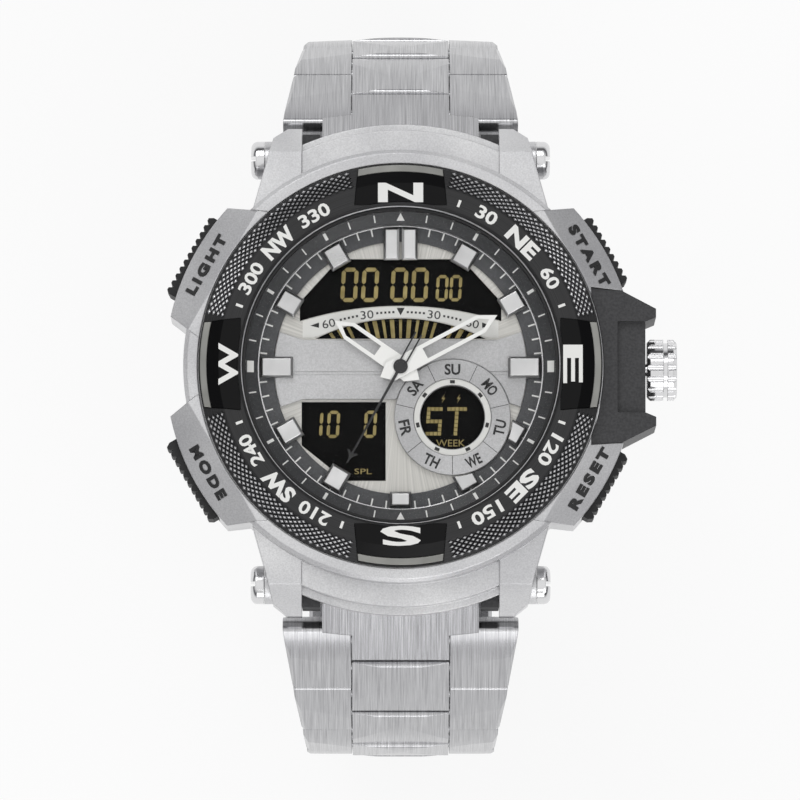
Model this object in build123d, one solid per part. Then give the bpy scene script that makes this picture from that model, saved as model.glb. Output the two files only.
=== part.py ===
from build123d import *
from math import cos, hypot, radians, sin, sqrt
import os

# A wristwatch with hands and digital displays, on a closed steel bracelet.
# It stands dial up on its clasp: X points to 3 o'clock, Y to 12 o'clock and Z up out of the dial.
# Case heights are measured from the outer face of the case back, and all lengths are millimetres.

# Fits that every piece shares
RUN_FIT = 0.05
SEAT_GAP = 0.05
BODY_GAP = 0.2
CUT_OVERRUN = 3.0

# Bracelet links
LINK_PITCH = 9.0
LINK_INNER = 1.6
LINK_OUTER = 1.9
NOSE_RADIUS = 2.3
LINK_EDGE = 0.5
LINK_ARCH_RADIUS = 24.0
CENTRE_HALF_WIDTH = 5.1
CENTRE_CROWN = 0.4
SIDE_STEP = 0.3
SIDE_SLOPE = 0.2
SIDE_CHAMFER = 0.4
CASE_END_HALF_WIDTH = 12.1
CLASP_END_HALF_WIDTH = 10.0
taper_shares = [0.0, 0.48, 0.86, 1.0, 1.0, 1.0, 1.0, 1.0]
PIN_RADIUS = 0.6
PIN_INSET = 0.3
END_LINK_LENGTH = 7.2
END_LINK_SLOPE = 43
REST_TURNS = [12, 14, 14, 15, 16, 18, 20]
BARREL_RADIUS = 2.0

# Clasp
CLASP_BAR_HEIGHT = 2.9
COVER_MARGIN = 0.3
COVER_HALF_WIDTH = CLASP_END_HALF_WIDTH + COVER_MARGIN
COVER_WALL = 1.0
COVER_HEIGHT = 4.6
COVER_CHAMFER = 0.4
BLADE_HALF_WIDTH = 7.1
BLADE_THICKNESS = 0.8
KNUCKLE_RADIUS = 1.15
KNUCKLE_HALF_WIDTH = 4.0
HINGE_PIN_RADIUS = 0.5
MIDDLE_HINGE_HEIGHT = 2.2
MIDDLE_HINGE_SETBACK = 4.6
BASE_HINGE_HEIGHT = 2.9
BASE_HINGE_SETBACK = 5.6
FLOOR_SETBACK = 6.0
BUTTON_RADIUS = 1.4
BUTTON_STEM_RADIUS = 0.9
BUTTON_FLANGE_RADIUS = 1.3
BUTTON_PROUD = 0.8
BUTTON_TRAVEL = 0.6
BUTTON_FLANGE = 0.5

# Case heights and radii that the rest is worked out from
CORE_TOP = 10.9
DIAL_RADIUS = 16.3

# Case core and shell
CAVITY_MARGIN = 1.2
CAVITY_RADIUS = DIAL_RADIUS + CAVITY_MARGIN
CORE_WALL = 3.1
CORE_RADIUS = CAVITY_RADIUS + CORE_WALL
CORE_BOTTOM = 1.5
SHELL_WALL = 2.0
SHELL_RADIUS = CORE_RADIUS + SHELL_WALL
DECK_GAP = 0.1
DECK_THICKNESS = 2.4
DECK_HEIGHT = CORE_TOP + DECK_GAP + DECK_THICKNESS
RIM_RISE = 0.8
RIM_HEIGHT = DECK_HEIGHT + RIM_RISE
RIM_CHAMFER = 0.4
COLLAR_MARGIN = 0.15
COLLAR_RADIUS = CAVITY_RADIUS - COLLAR_MARGIN
COLLAR_WALL = 0.85
COLLAR_RISE = 1.6
COLLAR_TOP = DECK_HEIGHT + COLLAR_RISE
CRYSTAL_OPENING_RADIUS = COLLAR_RADIUS - COLLAR_WALL

# Lugs and the bars between them
LUG_REACH = 3.0
LUG_TIP_Y = SHELL_RADIUS + LUG_REACH
BAR_SETBACK = 3.3
BAR_Y = LUG_TIP_Y - BAR_SETBACK
BAR_HEIGHT = 6.0
BAR_RADIUS = 0.9
LUG_INNER_X = 10.3
LUG_TIP_X = 11.8
LUG_CORNER_X = 13.3
LUG_CORNER_SETBACK = 1.2
LUG_WAIST_X = 14.0
LUG_WAIST_SETBACK = 4.1
LUG_ROOT_X = 16.3
LUG_ROOT_SETBACK = 12.2
LUG_BASE_SETBACK = 14.1
LUG_DROP = 0.7
LUG_TOP = DECK_HEIGHT - LUG_DROP
LUG_BREAK_SETBACK = 3.0
LUG_BREAK_TOP = LUG_TOP - LUG_DROP
LUG_TIP_RISE = 0.4
LUG_TIP_DROP = 2.4
LUG_BOTTOM_DROP = 3.3
LUG_BOTTOM = BAR_HEIGHT - LUG_BOTTOM_DROP
LUG_BOTTOM_SETBACK = 4.6
LUG_CORE_INNER_X = 8.4
LUG_CORE_SETBACK = 0.8
LUG_CORE_RISE = 2.3
LUG_CORE_TOP = BAR_HEIGHT + LUG_CORE_RISE
SCREW_HEAD_RADIUS = 2.0
SCREW_HEAD_HEIGHT = 1.4
SCREW_SEAT_X = 14.2
SCREW_SHANK = 2.2
SCREW_SLOT_WIDTH = 0.5
SCREW_SLOT_DEPTH = 0.5

# Bands between the lugs
BAND_RISE = 2.5
BAND_BOTTOM = BAR_HEIGHT + BAND_RISE
LOWER_BAND_REACH = 3.1
LOWER_BAND_RADIUS = SHELL_RADIUS + LOWER_BAND_REACH
LOWER_BAND_THICKNESS = 1.2
LOWER_BAND_TOP = BAND_BOTTOM + LOWER_BAND_THICKNESS
UPPER_BAND_REACH = 2.3
UPPER_BAND_RADIUS = SHELL_RADIUS + UPPER_BAND_REACH
UPPER_BAND_THICKNESS = 1.9
UPPER_BAND_TOP = LOWER_BAND_TOP + UPPER_BAND_THICKNESS

# Side buttons, and the guards on the shell, in each button's own axes: along its travel, and along its length
BUTTON_ANGLE = 30
PUSHER_AXIS_DROP = 2.4
PUSHER_AXIS_HEIGHT = CORE_TOP - PUSHER_AXIS_DROP
PUSHER_HALF_HEIGHT = 2.4
PUSHER_BOTTOM = PUSHER_AXIS_HEIGHT - PUSHER_HALF_HEIGHT
PUSHER_TOP = PUSHER_AXIS_HEIGHT + PUSHER_HALF_HEIGHT
PUSHER_LUG_SIDE = 3.9
PUSHER_CROWN_SIDE = 3.9
PUSHER_FAR_SIDE = 5.3
PUSHER_TOOTH = 0.45
PUSHER_TOOTH_PITCH = 0.84
PUSHER_TRAVEL = 1.0
PUSHER_STEM_RADIUS = 0.8
SPRING_OUTER_RADIUS = 1.4
SPRING_SLACK = 0.15
HEAD_BORE_DEPTH = 1.2
GUARD_ROOT = SHELL_RADIUS - 2 * SHELL_WALL
GUARD_SHOULDER_SETBACK = 2.5
GUARD_SHOULDER = SHELL_RADIUS - GUARD_SHOULDER_SETBACK
GUARD_REACH = 1.9
GUARD_FACE = SHELL_RADIUS + GUARD_REACH
GUARD_LUG_SIDE = 7.0
GUARD_LUG_FACE_SIDE = 4.4
GUARD_LUG_CORNER_SETBACK = 0.5
GUARD_LUG_CORNER_SIDE = 5.3
GUARD_MID_SIDE = 7.9
GUARD_CORNER_SETBACK = 0.8
GUARD_CORNER_SIDE = 7.4
GUARD_MID_FACE_SIDE = 5.9
GUARD_FLOOR = 1.3
GUARD_BOTTOM = PUSHER_BOTTOM - GUARD_FLOOR
GUARD_DROP = 0.2
GUARD_TOP = RIM_HEIGHT - GUARD_DROP
GUARD_SLOPE = 1.5
GUARD_FACE_TOP = GUARD_TOP - GUARD_SLOPE
SHELL_SKIRT = 0.3
SHELL_BOTTOM = GUARD_BOTTOM - SHELL_SKIRT
PUSHER_PROUD = 0.7
PUSHER_FACE = GUARD_FACE + PUSHER_PROUD
PUSHER_DEPTH = 2.2
PUSHER_BACK = PUSHER_FACE - PUSHER_DEPTH
PUSHER_STEM_LENGTH = 4.6
PUSHER_STEM_END = PUSHER_BACK - PUSHER_STEM_LENGTH
SPRING_POCKET_DEPTH = 3.6
SPRING_POCKET_FLOOR = PUSHER_BACK - SPRING_POCKET_DEPTH

# Crown, its stem and the block that shields it
CROWN_DROP = 2.3
CROWN_HEIGHT = CORE_TOP - CROWN_DROP
CROWN_RADIUS = 3.2
CROWN_LENGTH = 3.1
CROWN_FLUTES = 16
CROWN_FLUTE_RADIUS = 0.32
CROWN_CHAMFER = 0.35
CROWN_GROOVE_START = 1.7
CROWN_GROOVE_WIDTH = 0.45
CROWN_GROOVE_DEPTH = 0.35
STEM_RADIUS = 0.65
STEM_REACH = 2.8
STEM_INNER_X = CAVITY_RADIUS - STEM_REACH
STEM_GRIP = 1.8
STEM_END_LENGTH = 0.7
STEM_NECK_X = STEM_INNER_X + STEM_END_LENGTH
STEM_NECK_LENGTH = 0.8
STEM_NECK_RADIUS = 0.4
RETAINER_RADIUS = 1.4
TUBE_RADIUS = 1.3
TUBE_SETBACK = 0.2
TUBE_INNER_X = CAVITY_RADIUS + TUBE_SETBACK
BLOCK_ROOT_DEPTH = 2.8
BLOCK_ROOT_X = SHELL_RADIUS - BLOCK_ROOT_DEPTH
BLOCK_REACH = 2.9
BLOCK_WALL_X = SHELL_RADIUS + BLOCK_REACH
BLOCK_ARM = 1.1
BLOCK_TIP_X = BLOCK_WALL_X + BLOCK_ARM
BLOCK_SHOULDER_REACH = 0.5
BLOCK_SHOULDER_X = SHELL_RADIUS + BLOCK_SHOULDER_REACH
BLOCK_ROOT_Y = 8.2
BLOCK_SHOULDER_Y = 7.9
BLOCK_TIP_Y = 6.1
BLOCK_NOTCH_Y = 4.75
BLOCK_NOTCH_DEPTH_Y = 5.2
BLOCK_SKIRT = 1.6
BLOCK_BOTTOM = GUARD_BOTTOM - BLOCK_SKIRT
BLOCK_DROP = 0.1
BLOCK_TOP = DECK_HEIGHT - BLOCK_DROP
BLOCK_SLOPE = 0.9
BLOCK_WALL_TOP = BLOCK_TOP - BLOCK_SLOPE
BLOCK_SADDLE = 0.7

# Turning bezel
BEZEL_MARGIN = 1.6
BEZEL_RADIUS = SHELL_RADIUS - BEZEL_MARGIN
BEZEL_ROOM = 0.15
BEZEL_FLOAT = 0.1
BEZEL_BOTTOM = DECK_HEIGHT + BEZEL_FLOAT
BEZEL_EDGE = 1.0
BEZEL_EDGE_TOP = BEZEL_BOTTOM + BEZEL_EDGE
BEZEL_THICKNESS = 2.4
BEZEL_TOP = BEZEL_BOTTOM + BEZEL_THICKNESS
BEZEL_SLOPE = 2.1
BEZEL_FLAT_RADIUS = BEZEL_RADIUS - BEZEL_SLOPE
BEZEL_LIP_GAP = 0.1
BEZEL_LIP_RADIUS = CRYSTAL_OPENING_RADIUS + BEZEL_LIP_GAP
BEZEL_LIP_BOTTOM = COLLAR_TOP + BEZEL_LIP_GAP
BEZEL_LIP_CHAMFER = 0.3
BEZEL_LIP_TOP = BEZEL_TOP - BEZEL_LIP_CHAMFER
BEZEL_LIP_BREAK = BEZEL_LIP_RADIUS + BEZEL_LIP_CHAMFER
PLATE_STEP = 0.2
PLATE_INNER_HALF = 4.75
PLATE_OUTER_HALF = 4.35
PLATE_SEAT = 0.7
PLATE_FLOOR = BEZEL_BOTTOM + PLATE_SEAT
PLATE_RISE = 0.1
STRIP_INSET = 0.15
STRIP_OUTER_RADIUS = BEZEL_RADIUS - STRIP_INSET
STRIP_WIDTH = 0.7
PLATE_OUTER_RADIUS = STRIP_OUTER_RADIUS - STRIP_WIDTH - SEAT_GAP
STRIP_RISE = 0.7
STRIP_TOP = BEZEL_EDGE_TOP + STRIP_RISE

# Crystal, rings and dial
GASKET_WALL = 0.3
CRYSTAL_RADIUS = CRYSTAL_OPENING_RADIUS - GASKET_WALL - 2 * SEAT_GAP
CRYSTAL_SEAT = 1.4
CRYSTAL_BOTTOM = COLLAR_TOP - CRYSTAL_SEAT
CRYSTAL_PROUD = 0.3
CRYSTAL_TOP = COLLAR_TOP + CRYSTAL_PROUD
CRYSTAL_CHAMFER = 0.3
DIAL_BOTTOM = CORE_TOP
DIAL_THICKNESS = 0.4
DIAL_TOP = DIAL_BOTTOM + DIAL_THICKNESS
CHAPTER_OUTER_RADIUS = DIAL_RADIUS
CHAPTER_WIDTH = 1.4
CHAPTER_INNER_RADIUS = CHAPTER_OUTER_RADIUS - CHAPTER_WIDTH
CHAPTER_OUTER_TOP = CRYSTAL_BOTTOM - BODY_GAP
CHAPTER_DROP = 0.6
CHAPTER_INNER_TOP = CHAPTER_OUTER_TOP - CHAPTER_DROP
FLANGE_WIDTH = 1.7
FLANGE_INNER_RADIUS = CHAPTER_INNER_RADIUS - FLANGE_WIDTH
FLANGE_THICKNESS = 0.4
FLANGE_TOP = DIAL_TOP + FLANGE_THICKNESS
BRIDGE_THICKNESS = 0.45
BRIDGE_TOP = DIAL_TOP + BRIDGE_THICKNESS
BRIDGE_HALF_LENGTH = FLANGE_INNER_RADIUS - 2 * SEAT_GAP
BRIDGE_SHOULDER_X = 10.1
BRIDGE_TOP_Y = 2.9
BRIDGE_TOP_END_Y = 3.9
BRIDGE_LOW_Y = -3.3
BRIDGE_LOW_END_Y = -4.3
BRIDGE_GROOVE_Y = -0.4
BRIDGE_GROOVE_WIDTH = 0.35
BRIDGE_GROOVE_DEPTH = 0.12
WEEKDAY_X = 5.4
WEEKDAY_Y = -5.2
WEEKDAY_OUTER_RADIUS = 6.05
WEEKDAY_STEP_RADIUS = 4.05
WEEKDAY_WINDOW_RADIUS = 3.35
WEEKDAY_THICKNESS = 0.8
WEEKDAY_TOP = DIAL_TOP + WEEKDAY_THICKNESS
WEEKDAY_STEP = 0.2
WEEKDAY_STEP_TOP = WEEKDAY_TOP - WEEKDAY_STEP
MARKER_BOTTOM = FLANGE_TOP + 2 * SEAT_GAP
MARKER_THICKNESS = 0.8
MARKER_TOP = MARKER_BOTTOM + MARKER_THICKNESS
MARKER_INSET = 0.3
MARKER_OUTER_RADIUS = CHAPTER_INNER_RADIUS - MARKER_INSET
MARKER_LONG = 3.4
MARKER_SHORT = 2.4
SIX_LENGTH = 1.6
MARKER_WIDTH = 2.2
MARKER_CHAMFER = 0.25
TWELVE_WIDTH = 1.65
TWELVE_SPACING = 1.9
LONG_MARKER_HOURS = (3, 9)
SHORT_MARKER_HOUR = 6

# Display windows in the dial
TOP_WINDOW_HALF = 10.5
TOP_WINDOW_LOW = 4.9
TOP_WINDOW_RISE = 1.6
TOP_WINDOW_HIGH = 11.4
TOP_WINDOW_HIGH_HALF = 6.4
TOP_WINDOW_SIDE = 6.9
ARC_WINDOW_HALF = 8.9
ARC_WINDOW_LOW = 3.05
ARC_WINDOW_RISE = 2.15
LEFT_WINDOW_RIGHT = -1.55
LEFT_WINDOW_LEFT = -10.3
LEFT_WINDOW_TOP = -3.55
LEFT_WINDOW_BOTTOM = -11.8
LEFT_WINDOW_SIDE = -8.1
LEFT_WINDOW_FOOT = -5.7
PANEL_MARGIN = 0.5
PANEL_DROP = 0.1
PANEL_TOP = DIAL_BOTTOM - PANEL_DROP
PANEL_THICKNESS = 0.9
PANEL_BOTTOM = PANEL_TOP - PANEL_THICKNESS

# Movement and what is packed round it
BOARD_TOP = PANEL_BOTTOM - SEAT_GAP
BOARD_THICKNESS = 0.5
BOARD_BOTTOM = BOARD_TOP - BOARD_THICKNESS
BOARD_MARGIN = 0.4
BOARD_HOLE_RADIUS = 1.6
MODULE_MARGIN = 0.3
MODULE_RADIUS = CAVITY_RADIUS - MODULE_MARGIN
MODULE_BOTTOM = 2.3
MODULE_TOP = BOARD_BOTTOM - SEAT_GAP
BOARD_RADIUS = MODULE_RADIUS - BOARD_MARGIN
BATTERY_RADIUS = 4.8
BATTERY_X = -7.5
BATTERY_Y = -6.5
BATTERY_THICKNESS = 2.95
BATTERY_BOTTOM = MODULE_BOTTOM + SEAT_GAP
BATTERY_TOP = BATTERY_BOTTOM + BATTERY_THICKNESS
BATTERY_SLACK = 0.15
MOVEMENT_RADIUS = 7.4
MOVEMENT_FLOOR = 0.4
MOVEMENT_BOTTOM = BATTERY_TOP + MOVEMENT_FLOOR
MOVEMENT_DROP = 0.2
MOVEMENT_TOP = MODULE_TOP - MOVEMENT_DROP
MOVEMENT_SLACK = 0.1
BUZZER_RADIUS = 7.0
BUZZER_THICKNESS = 0.3
STEM_SLOT_HALF = 1.75

# Hands, given along the hand from the centre
HOUR_LENGTH = 8.4
MINUTE_LENGTH = 11.4
SECOND_LENGTH = 11.5
HAND_THICKNESS = 0.2
HAND_RISE = 0.15
HOUR_HAND_HEIGHT = MARKER_TOP + HAND_RISE
HAND_GAP = 0.1
MINUTE_HAND_HEIGHT = HOUR_HAND_HEIGHT + HAND_THICKNESS + HAND_GAP
SECOND_GAP = 0.07
SECOND_HAND_HEIGHT = MINUTE_HAND_HEIGHT + HAND_THICKNESS + SECOND_GAP
SECOND_THICKNESS = 0.13
HAND_ROOT_HALF = 1.05
HAND_BLADE_HALF = 1.0
HAND_TAIL = 2.4
HAND_RAIL = 0.4
HAND_WINDOW_START = 2.9
HAND_POINT = 1.9
SECOND_HALF_WIDTH = 0.16
SECOND_TAIL = 3.9
SECOND_TAIL_HALF = 0.42
SECOND_HUB_RADIUS = 0.75
HOUR_ANGLE = 305
MINUTE_ANGLE = 62
SECOND_ANGLE = 209
HOUR_PIPE_RADIUS = 0.75
MINUTE_PIPE_RADIUS = 0.55
ARBOR_RADIUS = 0.33
PIPE_DEPTH = 1.5
PIPE_BOTTOM = MOVEMENT_TOP - PIPE_DEPTH

# Case back
BACK_MARGIN = 0.7
BACK_RADIUS = CORE_RADIUS - BACK_MARGIN
BACK_THICKNESS = CORE_BOTTOM - 2 * SEAT_GAP
BACK_CHAMFER = 0.4
SPIGOT_MARGIN = 0.2
SPIGOT_RADIUS = CAVITY_RADIUS - SPIGOT_MARGIN
SPIGOT_WALL = 0.8
SPIGOT_HEIGHT = 0.8
SPIGOT_TOP = BACK_THICKNESS + SPIGOT_HEIGHT
GASKET_MARGIN = 0.2
GASKET_INNER_RADIUS = CAVITY_RADIUS + GASKET_MARGIN
GASKET_WIDTH = 0.4
GASKET_GROOVE = 0.5
BACK_SCREW_INSET = 0.9
BACK_SCREW_CIRCLE = BACK_RADIUS - BACK_SCREW_INSET
BACK_SCREW_HEAD_RADIUS = 0.75
BACK_SCREW_HEAD = 0.6
BACK_SCREW_RADIUS = 0.4
BACK_SCREW_LENGTH = 3.4

BASE = (Align.CENTER, Align.CENTER, Align.MIN)
SHOULDER_HALF_WIDTH = LUG_CORE_INNER_X - BODY_GAP
PIN_BORE = PIN_RADIUS + RUN_FIT
SOCKET_RADIUS = NOSE_RADIUS + BODY_GAP


# Basic shapes

def disc(radius, low, high, x=0, y=0):
    return Pos(x, y, low) * Cylinder(radius, high - low, align=BASE)


def ring(outer, inner, low, high, x=0, y=0):
    return disc(outer, low, high, x, y) - disc(inner, low - CUT_OVERRUN, high + CUT_OVERRUN, x, y)


def block(x_low, x_high, y_low, y_high, z_low, z_high):
    shape = Box(x_high - x_low, y_high - y_low, z_high - z_low, align=(Align.MIN, Align.MIN, Align.MIN))
    return Pos(x_low, y_low, z_low) * shape


def polygon(points):
    return make_face(Polyline(*points, close=True))


def rectangle(a_low, a_high, b_low, b_high):
    return polygon([(a_low, b_low), (a_high, b_low), (a_high, b_high), (a_low, b_high)])


def upward(sketch, low, high):
    """Extrudes a plan, drawn in (x, y), between two heights."""
    return extrude(Pos(0, 0, low) * sketch, amount=high - low, dir=(0, 0, 1))


def sideways(sketch, low, high):
    """Extrudes a side view, drawn in (y, z), between two values of x."""
    return extrude(Plane.YZ.offset(low) * sketch, amount=high - low, dir=(1, 0, 0))


def lengthways(sketch, low, high):
    """Extrudes a cross-section, drawn in (x, z), between two values of y."""
    return extrude(Plane.XZ.offset(-low) * sketch, amount=high - low, dir=(0, 1, 0))


def turned(points):
    """Turns a half section, drawn in (radius, height), about the dial's axis."""
    return revolve(Plane.XZ * polygon(points), axis=Axis.Z)


def cross_pin(radius, half_length, y, z):
    """A round pin along X, centred on the watch."""
    return Pos(0, y, z) * Rot(0, 90, 0) * Cylinder(radius, 2 * half_length)


def both_sides(shape):
    return [shape, mirror(shape, about=Plane.YZ)]


# Bracelet

def bracelet_run():
    """Pivots (y, height) of the 12 o'clock half from the end link to the clasp, and each row's slope."""
    slope = END_LINK_SLOPE
    y = BAR_Y + END_LINK_LENGTH * cos(radians(slope))
    z = BAR_HEIGHT - END_LINK_LENGTH * sin(radians(slope))
    pivots = [(y, z)]
    slopes = []
    for turn in REST_TURNS:
        slope += turn
        y += LINK_PITCH * cos(radians(slope))
        z -= LINK_PITCH * sin(radians(slope))
        slopes.append(slope)
        pivots.append((y, z))
    return pivots, slopes


PIVOTS, SLOPES = bracelet_run()
CLASP_Y = PIVOTS[-1][0]
CASE_LIFT = CLASP_BAR_HEIGHT - PIVOTS[-1][1]


def link_view(nose_at, socket_at, bores, top):
    """Side view of a link piece: an arched top, a round nose about one pin and a hollow socket about another."""
    low = min(nose_at, socket_at)
    high = max(nose_at, socket_at)
    band = rectangle(low - LINK_PITCH, high + LINK_PITCH, -LINK_INNER, LINK_OUTER)
    nose = Pos(nose_at, 0) * Circle(NOSE_RADIUS) & band
    view = rectangle(low, high, -LINK_INNER, LINK_OUTER) + nose
    view -= Pos(socket_at, 0) * Circle(SOCKET_RADIUS)
    view &= Pos((low + high) / 2, top - LINK_ARCH_RADIUS) * Circle(LINK_ARCH_RADIUS)
    ends = view.vertices().sort_by(Axis.Y)[-2:]
    view = fillet(ends, LINK_EDGE)
    for bore in bores:
        view -= Pos(bore, 0) * Circle(PIN_BORE)
    return view


def centre_section(half_width):
    """Cross-section of a centre piece, crowned across its width."""
    shoulder = LINK_OUTER - CENTRE_CROWN
    inside = -LINK_INNER
    corners = [(half_width, shoulder), (half_width, inside), (-half_width, inside), (-half_width, shoulder)]
    crown = ThreePointArc(corners[-1], (0, LINK_OUTER), corners[0])
    return make_face(Polyline(*corners).edges() + crown.edges())


def centre_piece():
    section = lengthways(centre_section(CENTRE_HALF_WIDTH), 0, LINK_PITCH + 2 * NOSE_RADIUS)
    view = link_view(LINK_PITCH, 0, [LINK_PITCH / 2, LINK_PITCH], LINK_OUTER)
    return sideways(view, -CENTRE_HALF_WIDTH, CENTRE_HALF_WIDTH) & section


def side_piece(start_half, end_half):
    """The right side piece of a row: its outer edge runs from one half width to the other."""
    taper = (end_half - start_half) / LINK_PITCH
    first = start_half - taper * NOSE_RADIUS
    inner = CENTRE_HALF_WIDTH + RUN_FIT + SEAT_GAP
    top = LINK_OUTER - SIDE_STEP
    edge = top - SIDE_SLOPE
    section = polygon([
        (0, -LINK_INNER), (first - SIDE_CHAMFER, -LINK_INNER), (first, SIDE_CHAMFER - LINK_INNER),
        (first, edge - SIDE_CHAMFER), (first - SIDE_CHAMFER, edge), (inner, top), (0, top),
    ])
    reach = LINK_PITCH + 2 * NOSE_RADIUS
    course = Vector(taper, 1, 0)
    start = Plane.XZ.offset(NOSE_RADIUS) * section
    bar = extrude(start, amount=reach * course.length, dir=course.normalized())
    view = link_view(0, LINK_PITCH, [0, LINK_PITCH / 2], top)
    return bar & sideways(view, inner, max(start_half, end_half) + SIDE_CHAMFER)


def half_width(row):
    """Half width of the bracelet at the start of a row, counted from the case."""
    return CASE_END_HALF_WIDTH + taper_shares[row] * (CLASP_END_HALF_WIDTH - CASE_END_HALF_WIDTH)


def clasp_bar():
    """The bar at the far end of the last upper row, with a sleeve on each side of the centre piece."""
    end = CLASP_END_HALF_WIDTH - PIN_INSET
    low = CENTRE_HALF_WIDTH + BODY_GAP
    view = Pos(LINK_PITCH, 0) * Circle(NOSE_RADIUS) - Pos(LINK_PITCH, 0) * Circle(PIN_BORE)
    sleeve = sideways(view, low, end)
    return both_sides(sleeve) + [cross_pin(PIN_RADIUS, end, LINK_PITCH, 0)]


def link_row(row, with_bar=False):
    """One row of the 12 o'clock half: centre, two sides, the pivot pin and the fixed pin."""
    start = half_width(row)
    end = half_width(row + 1)
    pieces = [centre_piece()] + both_sides(side_piece(start, end))
    pieces.append(cross_pin(PIN_RADIUS, start - PIN_INSET, 0, 0))
    pieces.append(cross_pin(PIN_RADIUS, (start + end) / 2 - PIN_INSET, LINK_PITCH / 2, 0))
    if with_bar:
        pieces += clasp_bar()
    y, z = PIVOTS[row]
    place = Pos(0, y, z + CASE_LIFT) * Rot(-SLOPES[row], 0, 0)
    return [place * piece for piece in pieces]


def end_link():
    """The end link of the 12 o'clock half: a barrel on the lug bar, shoulders and a tongue."""
    band = rectangle(-BARREL_RADIUS, END_LINK_LENGTH + LINK_PITCH, -LINK_INNER, LINK_OUTER)
    barrel = Circle(BARREL_RADIUS)
    bore = Circle(BAR_RADIUS + RUN_FIT)
    first_pivot = Pos(END_LINK_LENGTH, 0)
    run = rectangle(0, END_LINK_LENGTH, -LINK_INNER, LINK_OUTER)
    tongue = run + (first_pivot * Circle(NOSE_RADIUS) & band) + barrel - bore - first_pivot * Circle(PIN_BORE)
    shoulder = run + barrel - bore - first_pivot * Circle(SOCKET_RADIUS)
    shape = sideways(tongue, -CENTRE_HALF_WIDTH, CENTRE_HALF_WIDTH)
    shape += sideways(shoulder, -SHOULDER_HALF_WIDTH, SHOULDER_HALF_WIDTH)
    crown = lengthways(centre_section(SHOULDER_HALF_WIDTH), -BARREL_RADIUS, END_LINK_LENGTH + LINK_PITCH)
    nose_room = sideways(Circle(BARREL_RADIUS), -SHOULDER_HALF_WIDTH, SHOULDER_HALF_WIDTH)
    shape = shape & (crown + nose_room)
    return Pos(0, BAR_Y, BAR_HEIGHT + CASE_LIFT) * Rot(-END_LINK_SLOPE, 0, 0) * shape


def lug_bar():
    half = SCREW_SEAT_X - SCREW_SHANK - SEAT_GAP
    return cross_pin(BAR_RADIUS, half, BAR_Y, BAR_HEIGHT + CASE_LIFT)


def lug_screw():
    """The lug screw at 1 o'clock: a domed head with a slot, and a shank that reaches for the bar."""
    head = Cylinder(SCREW_HEAD_RADIUS, SCREW_HEAD_HEIGHT, align=BASE)
    head = fillet(head.edges().filter_by(GeomType.CIRCLE).sort_by(Axis.Z)[-1], SCREW_HEAD_HEIGHT / 2)
    slot = Box(2 * SCREW_HEAD_RADIUS, SCREW_SLOT_WIDTH, 2 * SCREW_SLOT_DEPTH)
    head -= Pos(0, 0, SCREW_HEAD_HEIGHT) * slot
    shank = Pos(0, 0, -SCREW_SHANK) * Cylinder(BAR_RADIUS, SCREW_SHANK, align=BASE)
    place = Pos(SCREW_SEAT_X + SEAT_GAP, BAR_Y, BAR_HEIGHT + CASE_LIFT) * Rot(0, 90, 0)
    return place * (head + shank)


# Clasp, in heights above the surface that it stands on

COVER_END_Y = CLASP_Y - SOCKET_RADIUS
MIDDLE_HINGE_Y = CLASP_Y - MIDDLE_HINGE_SETBACK
BASE_HINGE_Y = BASE_HINGE_SETBACK - CLASP_Y
HINGE_BORE = HINGE_PIN_RADIUS + RUN_FIT


def round_view(radius, y, z):
    return Pos(y, z) * Circle(radius)


def clasp_cover():
    """The outer cover: a floor, two walls, lugs for the bracelet bar and ears for the middle blade."""
    floor_end = CLASP_Y - FLOOR_SETBACK
    inner = COVER_HALF_WIDTH - COVER_WALL
    wall_view = rectangle(-CLASP_Y, COVER_END_Y, 0, COVER_HEIGHT)
    wall_view += round_view(NOSE_RADIUS, -CLASP_Y, CLASP_BAR_HEIGHT)
    bar_bore = round_view(PIN_BORE, -CLASP_Y, CLASP_BAR_HEIGHT)
    ear_bore = round_view(HINGE_BORE, MIDDLE_HINGE_Y, MIDDLE_HINGE_HEIGHT)
    wall = sideways(wall_view - bar_bore, inner, COVER_HALF_WIDTH)
    lug_view = round_view(NOSE_RADIUS, -CLASP_Y, CLASP_BAR_HEIGHT) - bar_bore
    lug = sideways(lug_view, CENTRE_HALF_WIDTH + BODY_GAP, inner)
    ear_view = round_view(KNUCKLE_RADIUS, MIDDLE_HINGE_Y, MIDDLE_HINGE_HEIGHT) - ear_bore
    ear = sideways(ear_view, BLADE_HALF_WIDTH + BODY_GAP / 2, inner)
    floor = block(-COVER_HALF_WIDTH, COVER_HALF_WIDTH, -COVER_END_Y, floor_end, 0, COVER_WALL)
    shape = floor
    for piece in both_sides(wall) + both_sides(lug) + both_sides(ear):
        shape += piece
    hole = Rot(0, 90, 0) * Cylinder(BUTTON_STEM_RADIUS + RUN_FIT, 3 * COVER_HALF_WIDTH)
    shape -= Pos(0, 0, CLASP_BAR_HEIGHT) * hole
    bevel = polygon([
        (COVER_HALF_WIDTH - COVER_CHAMFER, 0), (COVER_HALF_WIDTH + COVER_CHAMFER, 0),
        (COVER_HALF_WIDTH + COVER_CHAMFER, COVER_CHAMFER), (COVER_HALF_WIDTH, COVER_CHAMFER),
    ])
    for cut in both_sides(lengthways(bevel, -2 * CLASP_Y, 2 * CLASP_Y)):
        shape -= cut
    bar = cross_pin(PIN_RADIUS, COVER_HALF_WIDTH - PIN_INSET, -CLASP_Y, CLASP_BAR_HEIGHT)
    hinge_pin = cross_pin(HINGE_PIN_RADIUS, inner - SEAT_GAP, MIDDLE_HINGE_Y, MIDDLE_HINGE_HEIGHT)
    return [shape, bar, hinge_pin]


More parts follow.
